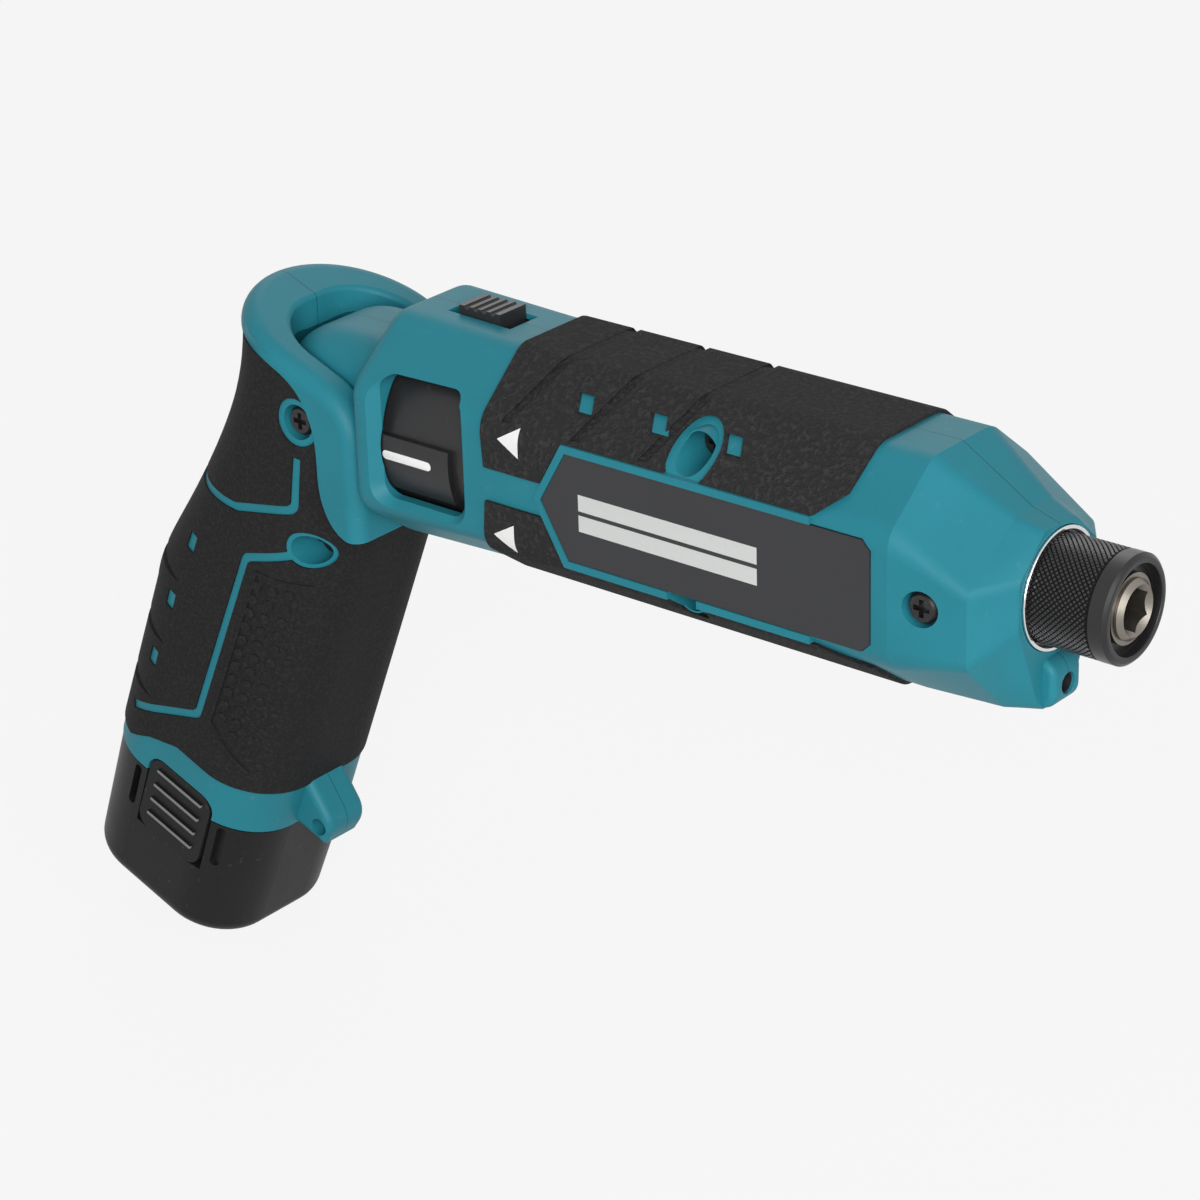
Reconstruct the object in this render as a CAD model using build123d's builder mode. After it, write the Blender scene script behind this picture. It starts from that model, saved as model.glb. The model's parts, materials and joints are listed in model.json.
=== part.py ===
from build123d import *
import os
from math import acos, cos, pi, radians, sin, sqrt, tan

os.makedirs("parts", exist_ok=True)

# A cordless impact driver with a folding handle, in millimetres. The origin is the middle of the
# bit socket's mouth. +X points out of the socket, +Y to the tool's left and +Z up.

# Fits
slip = 0.05
seat = 0.1
run_gap = 0.4

# Barrel outside
barrel_rear = -142.5
barrel_half_width = 19.8
barrel_half_height = 20.0
barrel_drop = 19.1
side_flat = 10.6
top_flat = 8.0
barrel_edge = 5.0
rear_edge = 3.0
rear_flare = 0.8
flare_length = 26.0
rear_wall = 3.0
nose_shoulder = -32.0
brow_x = -19.0
brow_half_width = 17.6
brow_top = 12.2
brow_bottom = 19.0
nose_front = -14.2
front_half_width = 10.7
front_bottom = 19.2
nose_edge = 2.6
chin_half_width = 3.8
chin_reach = 2.2
chin_round = 2.8
chin_edge = 1.2
chin_gap = 0.8
brow_cuts = {"high": 3.8, "low": 8.5, "crown": 5.0, "keel": 7.0}
nose_cuts = {"high": 4.5, "low": 3.5, "crown": 4.2, "keel": 4.6}

# Barrel inside
motor_bay_radius = 17.2
shoulder_radius = 15.8
shoulder_width = 2.6
rib_width = 3.0

# Bit drive
anvil_radius = 4.95
hex_across_flats = 6.45
hex_depth = 13.5
arm_front = -26.0
arm_length = 6.0
arm_reach = 12.4
arm_half_width = 3.6
anvil_hub_radius = 6.4
pilot_radius = 3.0
detent_x = -11.0
detent_radius = 1.6
ring_groove_x = -1.2
ring_width = 0.9
ring_radius = 5.7
anvil_edge = 0.8
hex_mouth = 0.9
ring_groove_depth = 0.5

# Chuck sleeve
sleeve_radius = 8.9
sleeve_front = -0.3
sleeve_rear = -15.2
sleeve_bore = 7.2
sleeve_land_front = -9.2
sleeve_land_rear = -12.9
washer_thickness = 0.8
sleeve_spring_wire = 0.5
sleeve_edge = 0.6
sleeve_step = 0.5
washer_gap = 0.25

# Hammer case and nose ring
bush_wall = 1.6
case_front = -17.5
case_hub_radius = 9.5
case_radius = 16.4
case_wall = 2.2
case_cone_front = -20.0
case_cone_rear = -28.0
case_rear = -67.0
nose_ring_radius = 10.0
nose_ring_bore = 9.3
nose_ring_length = 2.6
nose_ring_proud = 0.5
nose_ring_edge = 0.2
case_shoulder = 1.9
arm_cone = 1.0
arm_room = 0.6

# Hammer and spindle
hammer_gap = 1.0
hammer_radius = 13.4
hammer_length = 12.0
hammer_travel = 6.0
lug_inner = 7.2
lug_angle = 50.0
spindle_radius = 6.5
spring_pocket_depth = 5.0
spring_coil_radius = 9.5
spring_wire = 1.0
spring_turns = 4
cam_ball_radius = 1.75
carrier_front = -55.5
plate_thickness = 2.0
planet_width = 4.5
carrier_radius = 11.6
journal_radius = 5.6
journal_length = 2.0
cam_setback = 4.5
cam_room = 0.15
spindle_end_gap = 0.5
post_inset = 1.5
post_depth = 2.2
post_width = 4.0
pin_wall = 0.4
lug_root = 0.5
spring_pocket_half = 2.0

# Gear train
gear_module = 0.65
sun_teeth = 9
planet_teeth = 15
planet_count = 3
backlash = 0.12
addendum = 0.8
dedendum = 1.1
planet_pin_radius = 1.5
ring_gear_radius = 14.9
gear_plate_thickness = 2.8
ring_gear_lap = 1.0
ring_gear_room = 1.6
sun_overhang = 0.6

# Motor
motor_front = -77.0
motor_length = 36.0
motor_radius = 13.0
motor_wall = 1.2
magnet_thickness = 1.5
air_gap = 0.4
shaft_radius = 1.6
bearing_radius = 4.0
bearing_width = 3.4
commutator_radius = 3.2
commutator_length = 4.0
end_cap_thickness = 1.6
end_hub_radius = 6.0
bearing_wall = 1.2
magnet_split = 4.0
cap_reach = 4.4
brush_width = 3.0
brush_thickness = 3.0
brush_room = 4.0
brush_setback = 0.5
brush_end_gap = 1.2
shaft_stub = 0.6
core_slots = 5
core_slot_inset = 2.6
core_slot_radius = 2.2
core_mouth_inset = 0.5
core_mouth_depth = 3.0
core_mouth_width = 1.2
bar_gap_depth = 1.0
bar_gap_width = 0.4
switch_gap = 2.0
switch_width = 15.0
switch_height = 17.0
switch_corner = 1.0

# Direction ring, its window and the lock slider
drum_setback = 5.0
drum_length = 22.0
drum_radius = 17.4
drum_wall = 2.0
drum_block_rise = 1.2
drum_block_top = 2.4
drum_block_bottom = -7.4
drum_block_length = 15.6
block_bay_height = 27.0
drum_play = 0.3
window_rim = 1.1
window_front_rim = 3.0
window_top = 13.4
window_bottom = -8.6
window_corner = 2.8
window_bevel = 1.2
slider_setback = 15.4
slider_length = 9.0
slider_half_width = 3.4
slider_top = 22.0
slider_travel = 2.0
slot_wall = 0.8
slot_lip = 0.8
slider_wing = 1.1
slider_ribs = 4
slider_rib_pitch = 1.9
slider_rib_radius = 0.55

# Trigger
trigger_front = -84.0
trigger_rear = -112.0
trigger_half_width = 5.2
trigger_tip = -21.6
trigger_travel = 2.0
trigger_spring_radius = 2.0
trigger_spring_wire = 0.35
trigger_spring_turns = 5
trigger_slot_rise = 1.0
trigger_clear = 0.5
trigger_skin = 2.5
trigger_lip = 1.2
flange_rise = 0.9
flange_reach = 1.2
flange_room = 5.0
flange_gap = 0.3
spring_room = 0.3

# Side plates, grips and screws of the barrel
plate_tip = -100.5
plate_shoulder = -95.0
plate_front = -35.0
plate_half_height = 9.4
plate_depth = 0.6
border_width = 1.3
border_height = 0.5
border_end = 11.3
plate_sink = 0.2
upper_grip_front = ((11.3, 0.0), (7.0, 3.4), (5.8, 20.0))
lower_grip_front = ((11.3, 0.0), (1.5, 2.6), (1.5, 20.0))
grip_sink = 0.6
grip_proud = 0.7
groove_depth = 0.6
groove_foot = 11.5
groove_top = 23.0
groove_lean = 6.5
groove_width = 1.9
grip_square = 3.4
grip_square_lean = 1.6
grip_tongue = 3.0
grip_rear_setbacks = (14.0, 12.6, 11.8)
grip_rear_rise = 2.6
boss_rim = 1.3
grip_square_height = 2.4
grip_square_z = 14.6
screw_x = -71.5
upper_screw_z = 13.8
lower_screw_z = -10.0
nose_screw_x = -26.6
nose_well_floor = 16.7
screw_radius = 1.45
screw_head_radius = 2.7
screw_head_height = 1.8
head_room = 0.3
head_well_floor = 9.0
blind_end = 8.0
long_screw_reach = 16.0
nose_screw_reach = 4.0
hinge_screw_reach = 12.0
boss_radius = 3.3

# Lamp in the chin
lamp_z = -15.4
lamp_radius = 1.7
lamp_depth = 8.0
lamp_board_length = 2.4
lens_recess = 0.8
lens_round = 1.0

# Hinge
hinge_setback = 13.7
fold_rake = 21.5
neck_radius = 13.6
neck_half_width = 12.5
neck_edge = 8.0
hinge_pin_radius = 3.0
yoke_radius = 15.4
hood_mouth_back = 12.0
hood_mouth_round = 11.0
hood_clear = 0.3
yoke_round = 1.0
screw_slip = 0.02
leaf_thickness = 0.8
leaf_half_width = 3.5

# Handle
grip_center = -7.15
grip_half_depth = 20.35
grip_half_width = 18.7
grip_corner = 13.0
grip_end = 91.5
shell_wall = 1.2
side_wall = 1.9
pin_cover = 2.6
hinge_head_depth = 2.4
lead_room_top = 22.0
lead_room_half = 13.0
bay_top = 46.0
soft_sink = 0.4
soft_proud = 0.4
inlay_width = 1.7
inlay_bend = 2.0
screw_ring = 1.1
pin_ring = 1.4
back_notch_stations = (47.7, 62.4, 75.6)
notch_front = -16.0
notch_width = 5.4
notch_reach = 18.0
notch_depth = 0.6
second_screw_s = 24.0
second_screw_t = 7.8
lanyard_s = 88.4
lanyard_t = 18.4
lanyard_radius = 1.7
tab_top = 80.6
tab_tip = 21.6
tab_half_width = 5.0
tab_edge = 1.6
tab_round = 4.5
tab_flare = 0.7
arm_inset = 0.8
arm_top_x = 4.0
tab_root_depth = 4.0
tab_rake = 1.2
lead_room_corner = 4.0
hinge_head_room = 0.5

# Cap of the handle: the shell's arms and the brim above the rubber
cap_proud = 0.6
cap_round = 3.0
cap_mouth_round = 1.0
cap_front_round = 11.0
cap_center = -3.5
cap_back_height = 19.3
cap_slope = 21.0
brim_height = 14.3
form_top = 16.2
form_sink = 1.2

# Battery
cell_radius = 9.0
cell_length = 65.0
cell_web = 0.3
case_skin = 0.6
stem_gap = 0.5
foot_end = 120.2
foot_inset = 0.2
foot_edge = 3.6
foot_draft = 1.6
latch_width = 16.0
latch_top = 87.6
latch_length = 16.6
latch_center = -4.6
latch_corner = 3.0
side_slot_length = 9.6
side_slot_width = 1.7
side_slot_gap = 2.6
side_slot_drop = 1.4
side_slot_depth = 2.4
latch_rib = 0.4
latch_rib_width = 0.9
latch_rib_pitch = 3.5
latch_rib_count = 4
latch_rib_margin = 2.2
latch_rib_rise = 0.7
latch_thickness = 2.0
latch_travel = 1.4
latch_clear = 0.5
latch_cut = 6.0
latch_spring_radius = 2.2
latch_spring_wire = 0.35
latch_well_radius = 3.0
latch_well_depth = 3.0
block_height = 4.0
block_web = 1.5
blade_spacing = 15.2
blade_width = 2.6
blade_thickness = 0.8
blade_depth = 6.0
block_depth = 32.0
block_width = 24.0
block_corner = 4.0
cell_cover = 1.6
stem_flat = 0.4
blade_room = 1.0


def save(part, name):
    """Label a finished piece and write it to its own file."""
    part.label = name
    export_step(part, f"parts/{name}.step")


def turned(*points):
    """Closed outline of x and radius pairs, ready to spin about the X axis."""
    with BuildSketch(Plane.XZ) as outline:
        with BuildLine():
            Polyline(*points, close=True)
        make_face()
    return outline.sketch


def tube(front, rear, outer, inner=0.0):
    """Outline of a ring or rod along X, between two stations."""
    return turned((front, inner), (front, outer), (rear, outer), (rear, inner))


def section_plane(x):
    """Plane across the barrel at x, with local axes along Y and Z."""
    return Plane(origin=(x, 0, 0), x_dir=(0, 1, 0), z_dir=(1, 0, 0))


def octagon(x, width, top, bottom, high, low, crown, keel, rounding, grow=0.0):
    """Rounded eight-sided section of the barrel, symmetric about the middle plane."""
    with BuildSketch(section_plane(x)) as outline:
        with BuildLine():
            Polyline(
                (width, -low),
                (width, high),
                (crown, top),
                (-crown, top),
                (-width, high),
                (-width, -low),
                (-keel, -bottom),
                (keel, -bottom),
                close=True,
            )
        make_face()
        fillet(outline.vertices(), rounding)
        if grow != 0.0:
            offset(amount=grow)
    return outline.sketch


def barrel_section(x, grow=0.0):
    """Section of the straight part of the barrel, grown by a skin thickness."""
    return octagon(
        x,
        barrel_half_width,
        barrel_half_height,
        barrel_drop,
        high=side_flat,
        low=side_flat,
        crown=top_flat,
        keel=top_flat,
        rounding=barrel_edge,
        grow=grow,
    )


def plate_outline(grow=0.0):
    """Six-cornered outline of the side plate in side view."""
    nip = 1.6
    with BuildSketch(Plane.XZ) as outline:
        with BuildLine():
            Polyline(
                (plate_tip, 0),
                (plate_shoulder, plate_half_height),
                (plate_front - nip, plate_half_height),
                (plate_front, plate_half_height - nip),
                (plate_front, nip - plate_half_height),
                (plate_front - nip, -plate_half_height),
                (plate_shoulder, -plate_half_height),
                close=True,
            )
        make_face()
        if grow != 0.0:
            offset(amount=grow, kind=Kind.INTERSECTION)
    return outline.sketch


def screw(reach, head=screw_head_radius, shank=screw_radius):
    """Cross-head screw pointing along +Z, with the top of its head at the origin."""
    slot_width = 0.9
    slot_depth = 1.0
    with BuildPart() as fastener:
        with BuildSketch(Plane.XZ):
            with BuildLine():
                Polyline(
                    (0, 0),
                    (head * 0.8, 0),
                    (head, screw_head_height * 0.4),
                    (head, screw_head_height),
                    (shank, screw_head_height),
                    (shank, reach),
                    (0, reach),
                    close=True,
                )
            make_face()
        revolve(axis=Axis.Z)
        with BuildSketch(Plane.XY):
            Rectangle(head * 1.1, slot_width)
            Rectangle(slot_width, head * 1.1)
        extrude(amount=slot_depth, mode=Mode.SUBTRACT)
    return fastener.part


def polar(radius, degrees):
    """Point of a section plane at a radius and an angle."""
    return (radius * cos(radians(degrees)), radius * sin(radians(degrees)))


def gear_outline(teeth, tip, root, thin, plane):
    """Closed outline of an involute gear with a tooth on the plane's local x axis."""
    pitch_radius = gear_module * teeth / 2
    base = pitch_radius * cos(radians(20))
    flank_steps = 4

    def half_angle(radius):
        pressure = acos(min(1.0, base / radius))
        spread = tan(radians(20)) - radians(20) - tan(pressure) + pressure
        return pi / (2 * teeth) - thin / (2 * pitch_radius) + spread

    foot = max(base, root)
    radii = [foot + (tip - foot) * step / flank_steps for step in range(flank_steps + 1)]
    flank = [(root, half_angle(foot))] if root < base else []
    flank = flank + [(radius, half_angle(radius)) for radius in radii]
    points = []
    for tooth in range(teeth):
        middle = 2 * pi * tooth / teeth
        rising = [(radius, middle - angle) for radius, angle in flank]
        falling = [(radius, middle + angle) for radius, angle in reversed(flank)]
        points += [(radius * cos(turn), radius * sin(turn)) for radius, turn in rising + falling]
    with BuildSketch(plane) as outline:
        with BuildLine():
            Polyline(*points, close=True)
        make_face()
    return outline.sketch


def coil(radius, wire, start, direction, length, turns):
    """Coil spring of round wire that fills a length along a direction."""
    rise = length - 2 * wire
    begin = Vector(*start) + Vector(*direction).normalized() * wire
    with BuildPart() as spring:
        with BuildLine() as path:
            Helix(pitch=rise / turns, height=rise, radius=radius, center=begin, direction=direction)
        with BuildSketch(Plane(origin=path.line @ 0, z_dir=path.line % 0)):
            Circle(wire)
        sweep(is_frenet=True)
    return spring.part


# Stations along the barrel that follow from the driving dimensions
arm_rear = arm_front - arm_length
hammer_front = arm_rear - hammer_gap
hammer_rear = hammer_front - hammer_length
lug_front = arm_front - hammer_gap
planet_front = carrier_front - plate_thickness - run_gap
planet_rear = planet_front - planet_width
carrier_rear = planet_rear - run_gap - plate_thickness
gear_plate_front = carrier_rear - run_gap
gear_plate_rear = gear_plate_front - gear_plate_thickness
case_end = min(case_rear, gear_plate_rear)
motor_rear = motor_front - motor_length
boss_front = motor_front + bearing_width - 1.0
cap_rear = motor_rear - end_cap_thickness
hub_rear = cap_rear - bearing_width + 0.6
magnet_front = motor_front - 5.0
magnet_rear = motor_rear + 5.4
core_front = magnet_front - 1.0
core_rear = magnet_rear + 1.0
commutator_front = core_rear - 1.5
commutator_rear = commutator_front - commutator_length
drum_rear = barrel_rear + drum_setback
drum_front = drum_rear + drum_length
window_rear = drum_rear + window_rim
window_front = drum_front - window_front_rim
drum_bay_radius = drum_radius + drum_play
drum_block_radius = drum_radius + drum_block_rise
drum_bay_front = drum_front + drum_play
drum_bay_rear = drum_rear - drum_play
bay_rear = barrel_rear + rear_wall
slider_x = barrel_rear + slider_setback
neck_front = drum_bay_rear - 0.4
sun_pitch = gear_module * sun_teeth / 2
planet_pitch = gear_module * planet_teeth / 2
orbit = sun_pitch + planet_pitch
ring_teeth = sun_teeth + 2 * planet_teeth
ring_pitch = gear_module * ring_teeth / 2
rotor_radius = motor_radius - motor_wall - magnet_thickness - air_gap - seat
planet_angles = [360 * number / planet_count for number in range(planet_count)]
grip_squares = [screw_x - 24.7, screw_x - 9.7, screw_x + 5.3]
grip_valleys = [screw_x - 31.0, screw_x - 16.5, screw_x - 2.5]

# Directions of the handle: down along it and forward across it
hinge_x = barrel_rear - hinge_setback
hinge = Vector(hinge_x, 0, 0)
down = Vector(-sin(radians(fold_rake)), 0, -cos(radians(fold_rake)))
ahead = Vector(cos(radians(fold_rake)), 0, -sin(radians(fold_rake)))
side_view = Plane(origin=hinge, x_dir=ahead, z_dir=(0, -1, 0))
grip_back = grip_center - grip_half_depth
grip_front = grip_center + grip_half_depth


def across(s, t=grip_center):
    """Plane across the handle, s along it from the hinge, looking down the handle."""
    return Plane(origin=hinge + down * s + ahead * t, x_dir=ahead, z_dir=down)


def on_handle(s, t, y=0.0):
    """Point in space at s along the handle, t ahead of the hinge and y to the left."""
    return hinge + down * s + ahead * t + Vector(0, y, 0)


def hood(x, z):
    """Side view point of the handle from distances ahead of and above the hinge."""
    offset_from_hinge = Vector(x, 0, z)
    return (offset_from_hinge.dot(ahead), -offset_from_hinge.dot(down))


# Barrel grips in side view: the upper and lower rubber fields
def grip_field(upper):
    """Outline of the rubber on one side of the barrel, above or below the side plate."""
    sign = 1 if upper else -1
    reach = barrel_half_height + 10
    hole_z = upper_screw_z if upper else lower_screw_z
    front_edge = upper_grip_front if upper else lower_grip_front
    rear_top, rear_corner, rear_foot = grip_rear_setbacks
    with BuildSketch(Plane.XZ) as field:
        with BuildLine():
            Polyline(
                (plate_tip - rear_top, sign * reach),
                (plate_tip - rear_corner, sign * (side_flat + grip_rear_rise)),
                (plate_tip - rear_foot, sign * grip_tongue),
                (plate_front - front_edge[0][0], sign * grip_tongue),
                *[(plate_front - setback, sign * (side_flat + rise)) for setback, rise in front_edge],
                close=True,
            )
        make_face()
        add(plate_outline(border_width + seat), mode=Mode.SUBTRACT)
        with Locations((screw_x, hole_z)):
            Circle(boss_radius + boss_rim, mode=Mode.SUBTRACT)
        if upper:
            for square_x in grip_squares:
                with BuildLine():
                    Polyline(
                        (square_x, grip_square_z),
                        (square_x + grip_square, grip_square_z),
                        (square_x + grip_square - grip_square_lean, grip_square_z + grip_square_height),
                        (square_x - grip_square_lean, grip_square_z + grip_square_height),
                        close=True,
                    )
                make_face(mode=Mode.SUBTRACT)
    return field.sketch


def grip_grooves(front, rear):
    """Shallow slanted grooves of the upper rubber, with a tooth cut into its top at each."""
    crest = barrel_half_height + grip_proud
    with BuildPart() as grooves:
        for valley in grip_valleys:
            with BuildSketch(Plane.XZ):
                with BuildLine():
                    Polyline(
                        (valley - groove_lean, groove_foot),
                        (valley - groove_lean + groove_width, groove_foot),
                        (valley + groove_width, groove_top),
                        (valley, groove_top),
                        close=True,
                    )
                make_face()
                with BuildLine():
                    Polyline(
                        (valley - 2 * groove_lean, crest),
                        (valley, crest - groove_depth),
                        (valley + groove_width, crest),
                        close=True,
                    )
                make_face()
            extrude(amount=barrel_half_width + 5, both=True)
        bed = barrel_section(rear, grip_proud - groove_depth)
        extrude(bed, amount=front - rear, mode=Mode.SUBTRACT)
    return grooves.part


def grip_skin(upper):
    """Rubber field of both sides together, as a curved skin over the barrel."""
    front = plate_front
    rear = plate_tip - 20
    grooves = grip_grooves(front, rear)
    with BuildPart() as skin:
        extrude(barrel_section(rear, grip_proud), amount=front - rear)
        extrude(barrel_section(rear, -grip_sink), amount=front - rear, mode=Mode.SUBTRACT)
        extrude(grip_field(upper), amount=barrel_half_width + 5, both=True, mode=Mode.INTERSECT)
        if upper:
            add(grooves, mode=Mode.SUBTRACT)
        else:
            with BuildSketch(Plane.XY):
                with Locations(((trigger_front + trigger_rear) / 2, 0)):
                    Rectangle(trigger_front - trigger_rear + 2, 2 * trigger_half_width + 2)
            extrude(amount=-barrel_half_height - 5, mode=Mode.SUBTRACT)
    return skin.part


upper_skin = grip_skin(True)
lower_skin = grip_skin(False)


def window_outline(depth, grow=0.0):
    """Outline of the direction ring's window at a depth from the middle plane, grown by a bevel."""
    with BuildSketch(Plane.XZ.offset(depth)) as outline:
        with Locations(((window_front + window_rear) / 2, (window_top + window_bottom) / 2)):
            RectangleRounded(
                window_front - window_rear + 2 * grow,
                window_top - window_bottom + 2 * grow,
                window_corner + grow,
            )
    return outline.sketch


# Barrel housing, both halves before they are parted
with BuildPart() as neck:
    with BuildSketch(Plane(origin=hinge, x_dir=(1, 0, 0), z_dir=(0, -1, 0))):
        Circle(neck_radius)
        with Locations(((neck_front - hinge_x) / 2, 0)):
            Rectangle(neck_front - hinge_x, 2 * neck_radius)
    extrude(amount=neck_half_width, both=True)
    fillet(neck.faces().sort_by(Axis.Y)[0].edges() + neck.faces().sort_by(Axis.Y)[-1].edges(), neck_edge)

chin_front = nose_front + chin_reach
lamp_rear = chin_front - lamp_depth
with BuildPart() as chin:
    with BuildSketch(Plane.XZ):
        with BuildLine():
            FilletPolyline(
                (brow_x, -nose_ring_radius - chin_gap),
                (chin_front, -nose_ring_radius - chin_gap),
                (chin_front, -front_bottom),
                (brow_x, -front_bottom),
                radius=chin_round,
            )
            Line((brow_x, -front_bottom), (brow_x, -nose_ring_radius - chin_gap))
        make_face()
    extrude(amount=chin_half_width, both=True)
    chin_rim = chin.faces().filter_by(Axis.Y).edges()
    fillet(chin_rim.filter_by(lambda edge: edge.center().X > brow_x + chin_edge), chin_edge)

with BuildPart() as barrel_form:
    flare_front = barrel_rear + flare_length
    loft([barrel_section(barrel_rear, rear_flare), barrel_section(flare_front)], ruled=True)
    extrude(barrel_section(flare_front), amount=nose_shoulder - flare_front)
    brow = octagon(brow_x, brow_half_width, brow_top, brow_bottom, rounding=nose_edge, **brow_cuts)
    nose_end = octagon(
        nose_front, front_half_width, front_half_width, front_bottom, rounding=nose_edge, **nose_cuts
    )
    loft([barrel_section(nose_shoulder), brow, nose_end], ruled=True)
    add(chin.part)
    fillet(barrel_form.faces().sort_by(Axis.X)[0].edges(), rear_edge)

with BuildPart() as barrel_body:
    add(barrel_form.part)
    # raised border between each side plate and the rubber
    with BuildSketch(Plane.XZ):
        add(plate_outline(border_width))
        with Locations((plate_front, 0)):
            Rectangle(2 * border_end, 4 * plate_half_height, mode=Mode.SUBTRACT)
    extrude(amount=barrel_half_width + border_height, both=True)
    with BuildSketch(Plane.XZ.offset(barrel_half_width - plate_depth)):
        add(plate_outline())
    extrude(amount=plate_depth + border_height + 1, mode=Mode.SUBTRACT)
    with BuildSketch(Plane.XZ.offset(plate_depth - barrel_half_width)):
        add(plate_outline())
    extrude(amount=-plate_depth - border_height - 1, mode=Mode.SUBTRACT)
    # hollow for the hammer case, the motor and the direction ring
    rib_one = magnet_front + rib_width
    rib_two = magnet_rear
    revolve(
        turned(
            (nose_front + 5, 0),
            (nose_front + 5, nose_ring_radius + seat),
            (nose_front - nose_ring_length, nose_ring_radius + seat),
            (nose_front - nose_ring_length, case_hub_radius + seat),
            (case_cone_front + 1, case_hub_radius + seat),
            (case_cone_front, case_hub_radius + case_shoulder + seat),
            (case_cone_rear, case_radius + seat),
            (case_end - seat, case_radius + seat),
            (case_end - seat, motor_bay_radius),
            (rib_one, motor_bay_radius),
            (rib_one, motor_radius + seat),
            (rib_one - rib_width, motor_radius + seat),
            (rib_one - rib_width, motor_bay_radius),
            (rib_two + rib_width, motor_bay_radius),
            (rib_two + rib_width, motor_radius + seat),
            (rib_two, motor_radius + seat),
            (rib_two, motor_bay_radius),
            (drum_bay_front + shoulder_width, motor_bay_radius),
            (drum_bay_front + shoulder_width, shoulder_radius),
            (drum_bay_front, shoulder_radius),
            (drum_bay_front, drum_bay_radius),
            (drum_bay_rear, drum_bay_radius),
            (drum_bay_rear, shoulder_radius),
            (bay_rear, shoulder_radius),
            (bay_rear, 0),
        ),
        axis=Axis.X,
        mode=Mode.SUBTRACT,
    )
    # wider room at the sides for the direction ring's blocks
    with BuildSketch(section_plane(drum_bay_rear)):
        Circle(drum_block_radius + drum_play)
        Rectangle(2 * drum_block_radius + 2, block_bay_height, mode=Mode.INTERSECT)
    extrude(amount=drum_bay_front - drum_bay_rear, mode=Mode.SUBTRACT)
    add(neck.part)
    # bosses for the two long screws
    for boss_z in (upper_screw_z, lower_screw_z):
        boss_half = sqrt(barrel_half_width**2 - boss_z**2)
        with BuildSketch(Plane.XZ):
            with Locations((screw_x, boss_z)):
                Circle(boss_radius)
        extrude(amount=boss_half, both=True)
    # screw holes, with deep head wells on the right and blind ends on the left
    for boss_z in (upper_screw_z, lower_screw_z):
        with BuildSketch(Plane.XZ):
            with Locations((screw_x, boss_z)):
                Circle(screw_radius + seat)
        extrude(amount=barrel_half_width + 3, mode=Mode.SUBTRACT)
        with BuildSketch(Plane.XZ):
            with Locations((screw_x, boss_z)):
                Circle(screw_radius + seat)
        extrude(amount=-blind_end, mode=Mode.SUBTRACT)
        with BuildSketch(Plane.XZ.offset(head_well_floor)):
            with Locations((screw_x, boss_z)):
                Circle(screw_head_radius + head_room)
        extrude(amount=barrel_half_width, mode=Mode.SUBTRACT)
    for side in (1, -1):
        with BuildSketch(Plane.XZ.offset(side * (case_radius - 4))):
            with Locations((nose_screw_x, 0)):
                Circle(screw_radius + seat)
        extrude(amount=side * barrel_half_width, mode=Mode.SUBTRACT)
        with BuildSketch(Plane.XZ.offset(side * nose_well_floor)):
            with Locations((nose_screw_x, 0)):
                Circle(screw_head_radius + head_room)
        extrude(amount=side * barrel_half_width, mode=Mode.SUBTRACT)
        # window over the direction ring
        opening = window_outline(side * (drum_radius - 6))
        extrude(opening, amount=side * barrel_half_width, mode=Mode.SUBTRACT)
        bevel_floor = window_outline(side * (barrel_half_width - window_bevel))
        bevel_mouth = window_outline(side * (barrel_half_width + window_bevel), 2 * window_bevel)
        loft([bevel_floor, bevel_mouth], mode=Mode.SUBTRACT)
    # slot and undercut pocket for the lock slider
    slot_floor = drum_bay_radius + slot_wall
    with BuildSketch(Plane.XY.offset(slot_floor)):
        with Locations((slider_x, 0)):
            wing_half_width = slider_half_width + slider_wing + run_gap
            Rectangle(slider_length + 2 * slider_travel + 2 * run_gap, 2 * wing_half_width)
    extrude(amount=barrel_half_height - slot_lip - slot_floor, mode=Mode.SUBTRACT)
    with BuildSketch(Plane.XY.offset(slot_floor)):
        with Locations((slider_x, 0)):
            Rectangle(slider_length + 2 * slider_travel + 2 * run_gap, 2 * slider_half_width + run_gap)
    extrude(amount=barrel_half_height, mode=Mode.SUBTRACT)
    # slot and flange relief for the trigger
    trigger_mid = (trigger_front + trigger_rear) / 2
    trigger_length = trigger_front - trigger_rear
    flange_floor = -motor_bay_radius + flange_rise
    with BuildSketch(Plane.XY.offset(-motor_radius + trigger_slot_rise)):
        with Locations((trigger_mid, 0)):
            Rectangle(trigger_length + 2 * run_gap, 2 * trigger_half_width + 2 * run_gap)
    extrude(amount=-barrel_half_height, mode=Mode.SUBTRACT)
    with BuildSketch(Plane.XY.offset(flange_floor)):
        with Locations((trigger_mid, 0)):
            Rectangle(trigger_length + 2 * run_gap, 2 * (trigger_half_width + flange_reach + run_gap))
    extrude(amount=-motor_radius + flange_room - flange_floor, mode=Mode.SUBTRACT)
    # lamp hole, hinge pin bore and the seats of the grips
    with BuildSketch(section_plane(lamp_rear)):
        with Locations((0, lamp_z)):
            Circle(lamp_radius + seat)
    extrude(amount=lamp_depth + 1, mode=Mode.SUBTRACT)
    with BuildSketch(Plane.XZ):
        with Locations((hinge_x, 0)):
            Circle(hinge_pin_radius + slip)
    extrude(amount=neck_half_width + 1, both=True, mode=Mode.SUBTRACT)
    add(upper_skin, mode=Mode.SUBTRACT)
    add(lower_skin, mode=Mode.SUBTRACT)

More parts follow.
